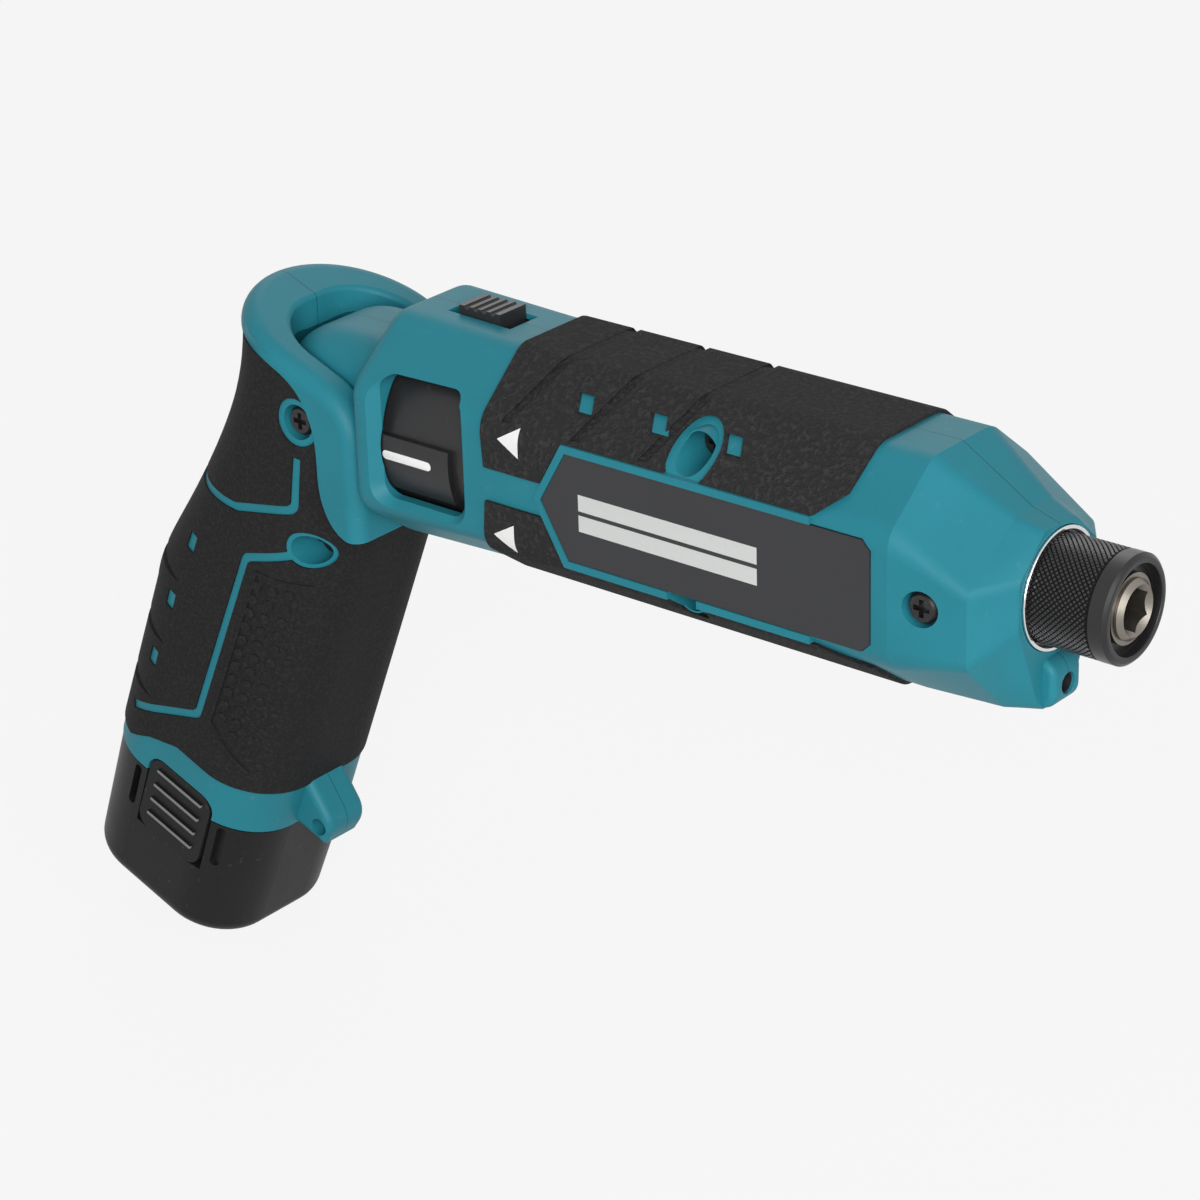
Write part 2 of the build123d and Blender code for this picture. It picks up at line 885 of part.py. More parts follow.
halves = {"right": Keep.TOP, "left": Keep.BOTTOM}
for side, kept in halves.items():
    with BuildPart() as barrel_housing:
        add(barrel_body.part)
        split(bisect_by=Plane.XZ, keep=kept)
    save(barrel_housing.part, f"barrel_housing_{side}")
    with BuildPart() as upper_grip:
        add(upper_skin)
        split(bisect_by=Plane.XZ, keep=kept)
    save(upper_grip.part, f"upper_grip_{side}")
    with BuildPart() as lower_grip:
        add(lower_skin)
        split(bisect_by=Plane.XZ, keep=kept)
    save(lower_grip.part, f"lower_grip_{side}")

for side, sign in (("right", 1), ("left", -1)):
    with BuildPart() as side_plate:
        with BuildSketch(Plane.XZ.offset(sign * (barrel_half_width - plate_depth))):
            add(plate_outline(-seat))
        extrude(amount=sign * (plate_depth + border_height - plate_sink))
    save(side_plate.part, f"side_plate_{side}")

# Screws of the barrel
with BuildPart() as barrel_screws:
    for boss_z in (upper_screw_z, lower_screw_z):
        head_top = (screw_x, -head_well_floor - screw_head_height, boss_z)
        with Locations(Plane(origin=head_top, z_dir=(0, 1, 0)).location):
            add(screw(reach=long_screw_reach))
    for sign in (1, -1):
        well = nose_well_floor + screw_head_height
        with Locations(Plane(origin=(nose_screw_x, -sign * well, 0), z_dir=(0, sign, 0)).location):
            add(screw(reach=nose_screw_reach))
save(barrel_screws.part, "barrel_screws")

# Lamp and its board
lens_rear = lamp_rear + lamp_board_length + 2 * seat
with BuildPart() as led_lens:
    with BuildSketch(section_plane(lens_rear)):
        with Locations((0, lamp_z)):
            Circle(lamp_radius)
    extrude(amount=chin_front - lens_recess - lens_rear)
    fillet(led_lens.faces().sort_by(Axis.X)[-1].edges(), lens_round)
save(led_lens.part, "led_lens")

with BuildPart() as led_board:
    with BuildSketch(section_plane(lamp_rear + seat)):
        with Locations((0, lamp_z)):
            Circle(lamp_radius)
    extrude(amount=lamp_board_length)
save(led_board.part, "led_board")

# Nose ring, hammer case and bush
with BuildPart() as nose_ring:
    ring_front = nose_front + nose_ring_proud
    ring_back = nose_front - nose_ring_length + seat
    revolve(tube(ring_front, ring_back, nose_ring_radius, nose_ring_bore), axis=Axis.X)
    fillet(nose_ring.faces().sort_by(Axis.X)[-1].edges(), nose_ring_edge)
save(nose_ring.part, "nose_ring")

bush_radius = anvil_radius + slip + bush_wall
with BuildPart() as hammer_case:
    revolve(
        turned(
            (case_front, bush_radius + seat / 2),
            (case_front, case_hub_radius),
            (case_cone_front + 1, case_hub_radius),
            (case_cone_front, case_hub_radius + case_shoulder),
            (case_cone_rear, case_radius),
            (case_end, case_radius),
            (case_end, ring_gear_radius + seat / 2),
            (planet_front + ring_gear_room, ring_gear_radius + seat / 2),
            (planet_front + ring_gear_room, case_radius - case_wall),
            (case_cone_rear - 1, case_radius - case_wall),
            (arm_front - arm_cone, arm_reach + arm_room),
            (arm_front + run_gap, arm_reach + arm_room),
            (arm_front + run_gap + arm_room, bush_radius + seat / 2),
        ),
        axis=Axis.X,
    )
    with BuildSketch(Plane.XZ):
        with Locations((nose_screw_x, 0)):
            Circle(screw_radius + seat / 2)
    extrude(amount=case_radius + 2, both=True, mode=Mode.SUBTRACT)
save(hammer_case.part, "hammer_case")

with BuildPart() as anvil_bush:
    bush_rear = arm_front + run_gap + arm_room
    revolve(tube(case_front + seat, bush_rear, bush_radius, anvil_radius + slip), axis=Axis.X)
save(anvil_bush.part, "anvil_bush")

# Ring gear and the plate that closes the hammer case
with BuildPart() as ring_gear:
    revolve(tube(planet_front + ring_gear_lap, planet_rear - ring_gear_lap, ring_gear_radius), axis=Axis.X)
    ring_space = gear_outline(
        ring_teeth,
        ring_pitch + dedendum * gear_module,
        ring_pitch - addendum * gear_module,
        -backlash,
        section_plane(planet_rear - 2),
    )
    extrude(ring_space, amount=planet_width + 4, mode=Mode.SUBTRACT)
save(ring_gear.part, "ring_gear")

with BuildPart() as gear_plate:
    revolve(tube(gear_plate_front, gear_plate_rear, ring_gear_radius, journal_radius + slip), axis=Axis.X)
    with BuildSketch(section_plane(gear_plate_front)):
        Circle(ring_gear_radius)
        Circle(carrier_radius + run_gap, mode=Mode.SUBTRACT)
    extrude(amount=planet_rear - ring_gear_lap - seat - gear_plate_front)
save(gear_plate.part, "gear_plate")

# Anvil with its hex socket, cross arms and pilot hole
with BuildPart() as anvil:
    revolve(
        turned(
            (0, 0),
            (0, anvil_radius - anvil_edge),
            (-anvil_edge, anvil_radius),
            (ring_groove_x, anvil_radius),
            (ring_groove_x, anvil_radius - ring_groove_depth),
            (ring_groove_x - ring_width, anvil_radius - ring_groove_depth),
            (ring_groove_x - ring_width, anvil_radius),
            (arm_front, anvil_radius),
            (arm_front, anvil_hub_radius),
            (arm_rear, anvil_hub_radius),
            (arm_rear, 0),
        ),
        axis=Axis.X,
    )
    with BuildSketch(section_plane(arm_rear)):
        Circle(arm_reach)
        Rectangle(2 * arm_reach + 2, 2 * arm_half_width, mode=Mode.INTERSECT)
    extrude(amount=arm_length)
    with BuildSketch(section_plane(1)):
        RegularPolygon(hex_across_flats / 2, 6, major_radius=False, rotation=30)
    extrude(amount=-hex_depth - 1, mode=Mode.SUBTRACT)
    mouth = hex_across_flats / 2 + hex_mouth
    revolve(turned((0, 0), (0, mouth), (-mouth, 0)), axis=Axis.X, mode=Mode.SUBTRACT)
    pilot_front = arm_front + 1
    revolve(tube(pilot_front, arm_rear, pilot_radius + seat), axis=Axis.X, mode=Mode.SUBTRACT)
    with Locations((detent_x, 0, 0)):
        Cylinder(detent_radius + slip, 4 * anvil_radius, mode=Mode.SUBTRACT)
save(anvil.part, "anvil")

detent_height = anvil_radius - detent_radius
with BuildPart() as detent_balls:
    with Locations((detent_x, 0, detent_height), (detent_x, 0, -detent_height)):
        Sphere(detent_radius)
save(detent_balls.part, "detent_balls")

with BuildPart() as retaining_ring:
    ring_start = ring_groove_x - slip
    ring_stop = ring_groove_x - ring_width + slip
    revolve(tube(ring_start, ring_stop, ring_radius, anvil_radius - ring_groove_depth + slip), axis=Axis.X)
save(retaining_ring.part, "retaining_ring")

washer_front = ring_groove_x - ring_width - seat
washer_rear = washer_front - washer_thickness
with BuildPart() as spring_washer:
    revolve(tube(washer_front, washer_rear, sleeve_bore - washer_gap, anvil_radius + seat), axis=Axis.X)
save(spring_washer.part, "spring_washer")

sleeve_spring_length = washer_rear - sleeve_land_front - 2 * seat
sleeve_spring = coil(
    (anvil_radius + sleeve_bore) / 2,
    sleeve_spring_wire,
    (sleeve_land_front + seat, 0, 0),
    (1, 0, 0),
    sleeve_spring_length,
    spring_turns,
)
save(sleeve_spring, "sleeve_spring")

# Chuck sleeve: smooth front lip, gripping body and the land that holds the detent balls in
with BuildPart() as chuck_sleeve:
    revolve(
        turned(
            (sleeve_front, sleeve_bore),
            (sleeve_front, sleeve_radius - sleeve_edge),
            (sleeve_front - sleeve_edge, sleeve_radius),
            (sleeve_rear + sleeve_edge, sleeve_radius),
            (sleeve_rear, sleeve_radius - sleeve_edge),
            (sleeve_rear, sleeve_bore - sleeve_step),
            (sleeve_land_rear, sleeve_bore - sleeve_step),
            (sleeve_land_rear, anvil_radius + slip),
            (sleeve_land_front, anvil_radius + slip),
            (sleeve_land_front, sleeve_bore),
        ),
        axis=Axis.X,
    )
save(chuck_sleeve.part, "chuck_sleeve")

# Spindle: pilot, shaft with two cam pockets, planet cage and rear journal
cam_x = hammer_front - cam_setback
with BuildPart() as spindle:
    revolve(
        turned(
            (pilot_front - spindle_end_gap, 0),
            (pilot_front - spindle_end_gap, pilot_radius),
            (arm_rear - hammer_gap - spindle_end_gap, pilot_radius),
            (arm_rear - hammer_gap - spindle_end_gap, spindle_radius),
            (carrier_front, spindle_radius),
            (carrier_front, carrier_radius),
            (carrier_front - plate_thickness, carrier_radius),
            (carrier_front - plate_thickness, 0),
        ),
        axis=Axis.X,
    )
    sun_clear = sun_pitch + addendum * gear_module + run_gap
    revolve(
        turned(
            (planet_rear - run_gap, sun_clear),
            (planet_rear - run_gap, carrier_radius),
            (carrier_rear, carrier_radius),
            (carrier_rear, journal_radius),
            (carrier_rear - journal_length, journal_radius),
            (carrier_rear - journal_length, sun_clear),
        ),
        axis=Axis.X,
    )
    with BuildSketch(section_plane(carrier_rear)):
        with PolarLocations(carrier_radius - post_inset, planet_count, start_angle=180 / planet_count):
            Rectangle(post_depth, post_width)
        Circle(carrier_radius, mode=Mode.INTERSECT)
    extrude(amount=carrier_front - carrier_rear)
    with BuildSketch(section_plane(carrier_rear - 1)):
        with PolarLocations(orbit, planet_count):
            Circle(planet_pin_radius + seat / 4)
    extrude(amount=carrier_front - carrier_rear + 1 - pin_wall, mode=Mode.SUBTRACT)
    with Locations((cam_x, 0, spindle_radius), (cam_x, 0, -spindle_radius)):
        Sphere(cam_ball_radius + slip, mode=Mode.SUBTRACT)
save(spindle.part, "spindle")

with BuildPart() as cam_balls:
    with Locations((cam_x, 0, spindle_radius), (cam_x, 0, -spindle_radius)):
        Sphere(cam_ball_radius)
save(cam_balls.part, "cam_balls")

with BuildPart() as planet_pins:
    with BuildSketch(section_plane(carrier_rear)):
        with PolarLocations(orbit, planet_count):
            Circle(planet_pin_radius)
    extrude(amount=carrier_front - carrier_rear - pin_wall - 2 * seat)
save(planet_pins.part, "planet_pins")

for number, angle in enumerate(planet_angles, start=1):
    center_y = orbit * cos(radians(angle))
    center_z = orbit * sin(radians(angle))
    planet_plane = Plane(origin=(planet_rear, center_y, center_z), x_dir=(0, 1, 0), z_dir=(1, 0, 0))
    with BuildPart() as planet_gear:
        outline = gear_outline(
            planet_teeth,
            planet_pitch + addendum * gear_module,
            planet_pitch - dedendum * gear_module,
            backlash,
            planet_plane,
        )
        extrude(outline, amount=planet_width)
        with BuildSketch(planet_plane):
            Circle(planet_pin_radius + slip)
        extrude(amount=planet_width, mode=Mode.SUBTRACT)
    save(planet_gear.part, f"planet_gear_{number}")

# Hammer with two lugs, its spring pocket and the cam grooves
pocket_bottom = hammer_rear + spring_pocket_depth
with BuildPart() as hammer:
    revolve(tube(hammer_front, hammer_rear, hammer_radius, spindle_radius + slip), axis=Axis.X)
    pocket_outer = spring_coil_radius + spring_pocket_half
    pocket_inner = spring_coil_radius - spring_pocket_half
    spring_ring = tube(pocket_bottom, hammer_rear, pocket_outer, pocket_inner)
    revolve(spring_ring, axis=Axis.X, mode=Mode.SUBTRACT)
    for start in (90 - lug_angle / 2, 270 - lug_angle / 2):
        middle = start + lug_angle / 2
        end = start + lug_angle
        with BuildSketch(section_plane(hammer_front - lug_root)):
            with BuildLine():
                Line(polar(lug_inner, start), polar(arm_reach, start))
                ThreePointArc(polar(arm_reach, start), polar(arm_reach, middle), polar(arm_reach, end))
                Line(polar(arm_reach, end), polar(lug_inner, end))
                ThreePointArc(polar(lug_inner, end), polar(lug_inner, middle), polar(lug_inner, start))
            make_face()
        extrude(amount=lug_front - hammer_front + lug_root)
    for sign in (1, -1):
        with BuildSketch(section_plane(cam_x - cam_ball_radius - run_gap)):
            with Locations((0, sign * spindle_radius)):
                Circle(cam_ball_radius + cam_room)
        extrude(amount=hammer_travel + 2 * cam_ball_radius + 2, mode=Mode.SUBTRACT)
save(hammer.part, "hammer")

hammer_spring_length = pocket_bottom - carrier_front - 2 * seat
hammer_spring = coil(
    spring_coil_radius,
    spring_wire,
    (carrier_front + seat, 0, 0),
    (1, 0, 0),
    hammer_spring_length,
    spring_turns,
)
save(hammer_spring, "hammer_spring")

# Motor: can, magnets, end cap, brushes and bearings
with BuildPart() as motor_can:
    revolve(
        turned(
            (boss_front, bearing_radius + seat / 4),
            (boss_front, bearing_radius + bearing_wall),
            (motor_front, bearing_radius + bearing_wall),
            (motor_front, motor_radius),
            (motor_rear, motor_radius),
            (motor_rear, motor_radius - motor_wall),
            (motor_front - motor_wall, motor_radius - motor_wall),
            (motor_front - motor_wall, bearing_radius + seat / 4),
        ),
        axis=Axis.X,
    )
save(motor_can.part, "motor_can")

magnet_outer = motor_radius - motor_wall - seat
with BuildPart() as motor_magnets:
    with BuildSketch(section_plane(magnet_rear)):
        Circle(magnet_outer)
        Circle(magnet_outer - magnet_thickness, mode=Mode.SUBTRACT)
        Rectangle(2 * motor_radius, magnet_split, mode=Mode.SUBTRACT)
    extrude(amount=magnet_front - magnet_rear)
save(motor_magnets.part, "motor_magnets")

brush_inner = commutator_radius + seat
with BuildPart() as motor_end_cap:
    revolve(
        turned(
            (motor_rear + cap_reach, motor_radius - motor_wall - seat),
            (motor_rear, motor_radius - motor_wall - seat),
            (motor_rear, motor_radius),
            (cap_rear, motor_radius),
            (cap_rear, end_hub_radius),
            (hub_rear, end_hub_radius),
            (hub_rear, bearing_radius + seat / 4),
            (cap_rear + end_cap_thickness, bearing_radius + seat / 4),
            (cap_rear + end_cap_thickness, commutator_radius + brush_room),
            (motor_rear + cap_reach, commutator_radius + brush_room),
        ),
        axis=Axis.X,
    )
    with BuildSketch(section_plane(commutator_rear + brush_setback - seat)):
        Rectangle(2 * magnet_outer - 2, brush_width + 2 * seat)
    extrude(amount=2 * brush_thickness, mode=Mode.SUBTRACT)
save(motor_end_cap.part, "motor_end_cap")

with BuildPart() as motor_brushes:
    brush_length = magnet_outer - brush_end_gap - brush_inner
    brush_middle = brush_inner + brush_length / 2
    with BuildSketch(section_plane(commutator_rear + brush_setback)):
        with Locations((brush_middle, 0), (-brush_middle, 0)):
            Rectangle(brush_length, brush_width)
    extrude(amount=brush_thickness)
save(motor_brushes.part, "motor_brushes")

with BuildPart() as motor_bearings:
    bearing_bore = shaft_radius + slip
    for bearing_front in (boss_front - seat, hub_rear + bearing_width):
        bearing_rear = bearing_front - bearing_width + seat
        revolve(tube(bearing_front, bearing_rear, bearing_radius, bearing_bore), axis=Axis.X)
save(motor_bearings.part, "motor_bearings")

# Rotor: shaft, slotted core, commutator and the sun gear on its front end
sun_rear = gear_plate_front - sun_overhang
with BuildPart() as rotor_shaft:
    revolve(tube(planet_front + seat, hub_rear - shaft_stub, shaft_radius), axis=Axis.X)
save(rotor_shaft.part, "rotor_shaft")

core_bore = shaft_radius + seat / 4
with BuildPart() as rotor_core:
    with BuildSketch(section_plane(core_rear)):
        Circle(rotor_radius)
        Circle(core_bore, mode=Mode.SUBTRACT)
        with PolarLocations(rotor_radius - core_slot_inset, core_slots):
            Circle(core_slot_radius, mode=Mode.SUBTRACT)
        with PolarLocations(rotor_radius - core_mouth_inset, core_slots):
            Rectangle(core_mouth_depth, core_mouth_width, mode=Mode.SUBTRACT)
    extrude(amount=core_front - core_rear)
save(rotor_core.part, "rotor_core")

with BuildPart() as commutator:
    revolve(tube(commutator_front, commutator_rear, commutator_radius, core_bore), axis=Axis.X)
    with BuildSketch(section_plane(commutator_rear)):
        with PolarLocations(commutator_radius, core_slots):
            Rectangle(bar_gap_depth, bar_gap_width)
    extrude(amount=commutator_length, mode=Mode.SUBTRACT)
save(commutator.part, "commutator")

with BuildPart() as sun_gear:
    sun_outline = gear_outline(
        sun_teeth,
        sun_pitch + addendum * gear_module,
        sun_pitch - dedendum * gear_module,
        backlash,
        section_plane(sun_rear),
    )
    extrude(sun_outline, amount=planet_front - sun_rear)
    with BuildSketch(section_plane(sun_rear)):
        Circle(core_bore)
    extrude(amount=planet_front - sun_rear, mode=Mode.SUBTRACT)
save(sun_gear.part, "sun_gear")

# Direction ring: a drum behind both windows with a raised block on each side
with BuildPart() as direction_ring:
    revolve(tube(drum_front, drum_rear, drum_radius, drum_radius - drum_wall), axis=Axis.X)
    with BuildSketch(section_plane(drum_rear)):
        Circle(drum_block_radius)
        with Locations((0, (drum_block_top + drum_block_bottom) / 2)):
            Rectangle(2 * drum_block_radius, drum_block_top - drum_block_bottom, mode=Mode.INTERSECT)
        Circle(drum_radius - drum_wall / 2, mode=Mode.SUBTRACT)
    extrude(amount=drum_block_length)
save(direction_ring.part, "direction_ring")

# Lock slider with cross ribs on its thumb face
with BuildPart() as lock_slider:
    with BuildSketch(Plane.XY.offset(slot_floor + seat)):
        with Locations((slider_x, 0)):
            Rectangle(slider_length, 2 * (slider_half_width + slider_wing))
    extrude(amount=barrel_half_height - slot_lip - slot_floor - 3 * seat)
    with BuildSketch(Plane.XY.offset(slot_floor + seat)):
        with Locations((slider_x, 0)):
            Rectangle(slider_length, 2 * (slider_half_width - seat))
    extrude(amount=slider_top - slot_floor - seat)
    with BuildSketch(Plane.XZ):
        with Locations((slider_x, slider_top)):
            with GridLocations(slider_rib_pitch, 1, slider_ribs, 1):
                Circle(slider_rib_radius)
    extrude(amount=slider_half_width, both=True, mode=Mode.SUBTRACT)
save(lock_slider.part, "lock_slider")

# Switch behind the motor
with BuildPart() as switch_body:
    switch_front = hub_rear - switch_gap
    with BuildSketch(section_plane(neck_front + seat)):
        RectangleRounded(switch_width, switch_height, switch_corner)
    extrude(amount=switch_front - neck_front - seat)
save(switch_body.part, "switch_body")

# Trigger: rounded paddle, retaining flanges and a pocket for its spring
trigger_roof = -motor_radius - trigger_travel - trigger_clear
spring_floor = trigger_tip + trigger_skin
with BuildPart() as trigger:
    with BuildSketch(section_plane(trigger_rear)):
        with BuildLine():
            Polyline(
                (-trigger_half_width, trigger_lip - barrel_drop),
                (-trigger_half_width, trigger_roof),
                (trigger_half_width, trigger_roof),
                (trigger_half_width, trigger_lip - barrel_drop),
            )
            ThreePointArc(
                (trigger_half_width, trigger_lip - barrel_drop),
                (0, trigger_tip),
                (-trigger_half_width, trigger_lip - barrel_drop),
            )
        make_face()
    extrude(amount=trigger_length)
    with BuildSketch(Plane.XY.offset(flange_floor + flange_gap)):
        with Locations((trigger_mid, 0)):
            Rectangle(trigger_length, 2 * (trigger_half_width + flange_reach))
    extrude(amount=trigger_roof - flange_floor)
    with BuildSketch(Plane.XY.offset(spring_floor)):
        with Locations((trigger_mid, 0)):
            Circle(trigger_spring_radius + trigger_spring_wire + spring_room)
    extrude(amount=10, mode=Mode.SUBTRACT)
save(trigger.part, "trigger")

trigger_spring_top = -motor_radius - seat
trigger_spring_length = trigger_spring_top - spring_floor - seat
trigger_spring = coil(
    trigger_spring_radius,
    trigger_spring_wire,
    (trigger_mid, 0, spring_floor + seat),
    (0, 0, 1),
    trigger_spring_length,
    trigger_spring_turns,
)
save(trigger_spring, "trigger_spring")

# Handle
yoke_front = hinge_setback - run_gap
yoke_half_width = neck_half_width + run_gap
mouth_half_width = yoke_half_width + hood_clear
cap_half_width = grip_half_width + cap_proud
cap_rise = tan(radians(cap_slope))
cap_back = cap_center - cap_half_width


def cap_top(x):
    """Height of the cap's sloping top at x ahead of the hinge."""
    return cap_back_height - cap_rise * (x - cap_back)


# Back of the handle down to where it runs straight: places along it and across it
straight_from = 54.0
handle_backs = [
    (-14.0, -24.6),
    (-2.0, -21.4),
    (8.0, -20.5),
    (20.0, -21.6),
    (32.0, -23.8),
    (44.0, -26.6),
    (straight_from, grip_back),
]

# Lower edge of the cap in side view, from the back of the brim to the front of the arm
cap_edge = [
    hood(-21.2, brim_height),
    hood(-9.6, 10.9),
    hood(0.9, 5.5),
    hood(4.4, -3.3),
    hood(5.1, -13.0),
    hood(8.2, -18.2),
    hood(yoke_front, -19.6),
]


def handle_section(s, back, grow):
    """Rounded section across the handle, s along it, from its back to the front of the grip."""
    front = grip_front + grow
    rear = back - grow
    with BuildSketch(across(s, (front + rear) / 2)) as outline:
        RectangleRounded(front - rear, 2 * (grip_half_width + grow), grip_corner + grow)
    return outline.sketch


def handle_profile(grow):
    """Side outline of the handle's front and top, open towards its back, grown by a skin thickness."""
    front = yoke_front - arm_inset
    arm_top = hood(arm_top_x, cap_top(arm_top_x) - form_sink)
    with BuildSketch(side_view) as outline:
        with BuildLine():
            Polyline(
                arm_top,
                hood(cap_back + 2.5, form_top),
                hood(-60, form_top),
                (-90, -grip_end),
                (grip_front + grow, -grip_end),
                (grip_front + grow, -30.0),
            )
            Spline(
                (grip_front + grow, -30.0),
                hood(9.0 + grow, -17.0),
                hood(front, -9.0),
                tangents=((0, 1), hood(0.0, 1.0)),
            )
            Polyline(hood(front, -9.0), hood(front, -2.0), arm_top)
        make_face()
    return outline.sketch


def handle_form(grow):
    """Solid handle without its cap and hollows, grown by a skin thickness."""
    with BuildPart() as form:
        loft([handle_section(s, back, grow) for s, back in handle_backs])
        extrude(handle_section(straight_from, grip_back, grow), amount=grip_end - straight_from)
        extrude(handle_profile(grow), amount=2 * grip_half_width, both=True, mode=Mode.INTERSECT)
    return form.part


def soft_field():
    """Rubber field of the handle in side view, open where the shell shows through."""
    with BuildSketch(side_view) as field:
        with BuildLine():
            Spline(*cap_edge)
            Polyline(
                cap_edge[-1],
                hood(40, -21.5),
                (40, -81.4),
                (12.0, -81.4),
                (2.5, -81.6),
                (-7.4, -81.4),
                (-14.1, -84.0),
                (-19.2, -87.4),
                (-36, -88.0),
                hood(-34, brim_height),
                cap_edge[0],
            )
        make_face()
        with Locations((0, 0)):
            Circle(hinge_pin_radius + pin_ring, mode=Mode.SUBTRACT)
        with Locations((second_screw_t, -second_screw_s)):
            Circle(screw_head_radius + screw_ring, mode=Mode.SUBTRACT)
        with Locations((-15.8, -38.2), (-17.2, -52.6), (-18.0, -67.1)):
            Rectangle(2.2, 3.6, mode=Mode.SUBTRACT)
        with BuildLine():
            FilletPolyline(
                (-34, -28.4),
                (-16.7, -26.0),
                (-8.0, -24.2),
                (4.0, -16.8),
                (1.9, -6.5),
                radius=inlay_bend,
            )
        trace(line_width=inlay_width, mode=Mode.SUBTRACT)
        with BuildLine():
            FilletPolyline(
                (second_screw_t, -second_screw_s - 0.6),
                (-3.2, -32.4),
                (-4.7, -71.2),
                (-20.5, -81.0),
                radius=inlay_bend,
            )
        trace(line_width=inlay_width, mode=Mode.SUBTRACT)
    return field.sketch


# Notches round the back of the grip
with BuildPart() as back_notches:
    add(handle_form(soft_proud + seat))
    add(handle_form(soft_proud - notch_depth), mode=Mode.SUBTRACT)
    with BuildSketch(side_view) as notch_field:
        for notch in back_notch_stations:
            with BuildLine():
                Polyline(
                    (notch_front, -notch),
                    (notch_front - notch_reach, notch_width / 2 - notch),
                    (notch_front - notch_reach, -notch_width / 2 - notch),
                    close=True,
                )
            make_face()
    extrude(notch_field.sketch, amount=2 * grip_half_width, both=True, mode=Mode.INTERSECT)

with BuildPart() as soft_skin:
    add(handle_form(soft_proud))
    add(handle_form(-soft_sink), mode=Mode.SUBTRACT)
    extrude(soft_field(), amount=2 * grip_half_width, both=True, mode=Mode.INTERSECT)
    add(back_notches.part, mode=Mode.SUBTRACT)

with BuildSketch() as mouth_outline:
    with Locations((30 - hood_mouth_back / 2, 0)):
        Rectangle(60 + hood_mouth_back, 2 * mouth_half_width)
    fillet(mouth_outline.vertices().group_by(Axis.X)[0], hood_mouth_round)
mouth_shape = mouth_outline.sketch


def cap_rim(part):
    """Outer edges of the cap's top and of the front of its arms."""

    def on_rim(edge):
        spot = edge.position_at(0.5) - hinge
        reach = abs(spot.Y) if spot.X > cap_center else sqrt((spot.X - cap_center) ** 2 + spot.Y**2)
        front = abs(spot.X - yoke_front) < 0.01
        return abs(reach - cap_half_width) < 0.01 and (front or spot.Z > cap_top(spot.X) - 3.0)

    return part.edges().filter_by(on_rim)


def cap_lip(part):
    """Upper edges of the cap's mouth."""

    def on_lip(edge):
        spot = edge.position_at(0.5) - hinge
        level = abs(edge.tangent_at(0.5).Z) < 0.8
        inside = abs(spot.Y) < mouth_half_width + 0.01 and spot.X > -hood_mouth_back - 0.01
        return level and inside and spot.Z > cap_top(spot.X) - 0.01

    return part.edges().filter_by(on_lip)


with BuildPart() as cap:
    with BuildSketch(side_view):
        with BuildLine():
            Spline(*cap_edge)
            FilletPolyline(
                cap_edge[-1],
                hood(yoke_front, cap_top(yoke_front)),
                hood(-34, cap_top(-34)),
                radius=cap_front_round,
            )
            Polyline(hood(-34, cap_top(-34)), hood(-34, brim_height), cap_edge[0])
        make_face()
    extrude(amount=cap_half_width, both=True)
    with BuildSketch(Plane(origin=hinge - Vector(0, 0, 60))):
        with Locations((cap_center, 0)):
            Circle(cap_half_width)
        with Locations((cap_center + 20, 0)):
            Rectangle(40, 2 * cap_half_width)
    extrude(amount=120, mode=Mode.INTERSECT)
    # U-shaped mouth over the barrel's neck
    with BuildSketch(Plane(origin=hinge - Vector(0, 0, yoke_radius))):
        add(mouth_shape)
    extrude(amount=80, mode=Mode.SUBTRACT)
    # round the cap's outer edge and the lip of its mouth
    for edges, radius in ((cap_rim(cap), cap_round), (cap_lip(cap), cap_mouth_round)):
        fillet(edges, radius)

tab_root = grip_front - tab_root_depth
flare_root = tab_top + tab_flare * (tab_root - grip_front)
flare_tip = tab_top + tab_flare * (tab_tip - grip_front)
with BuildPart() as lanyard_tab:
    with BuildSketch(side_view):
        with BuildLine():
            FilletPolyline(
                (tab_root, -flare_root),
                (tab_tip, -flare_tip),
                (tab_tip - tab_rake, -grip_end),
                radius=tab_round,
            )
            Polyline(
                (tab_tip - tab_rake, -grip_end),
                (tab_root, -grip_end),
                (tab_root, -flare_root),
            )
        make_face()
    extrude(amount=tab_half_width, both=True)
    tab_rim = lanyard_tab.faces().filter_by(Axis.Y).edges()
    free_rim = tab_rim.filter_by(lambda edge: (edge.position_at(0.5) - hinge).dot(ahead) > tab_root + 3)
    fillet(free_rim, tab_edge)

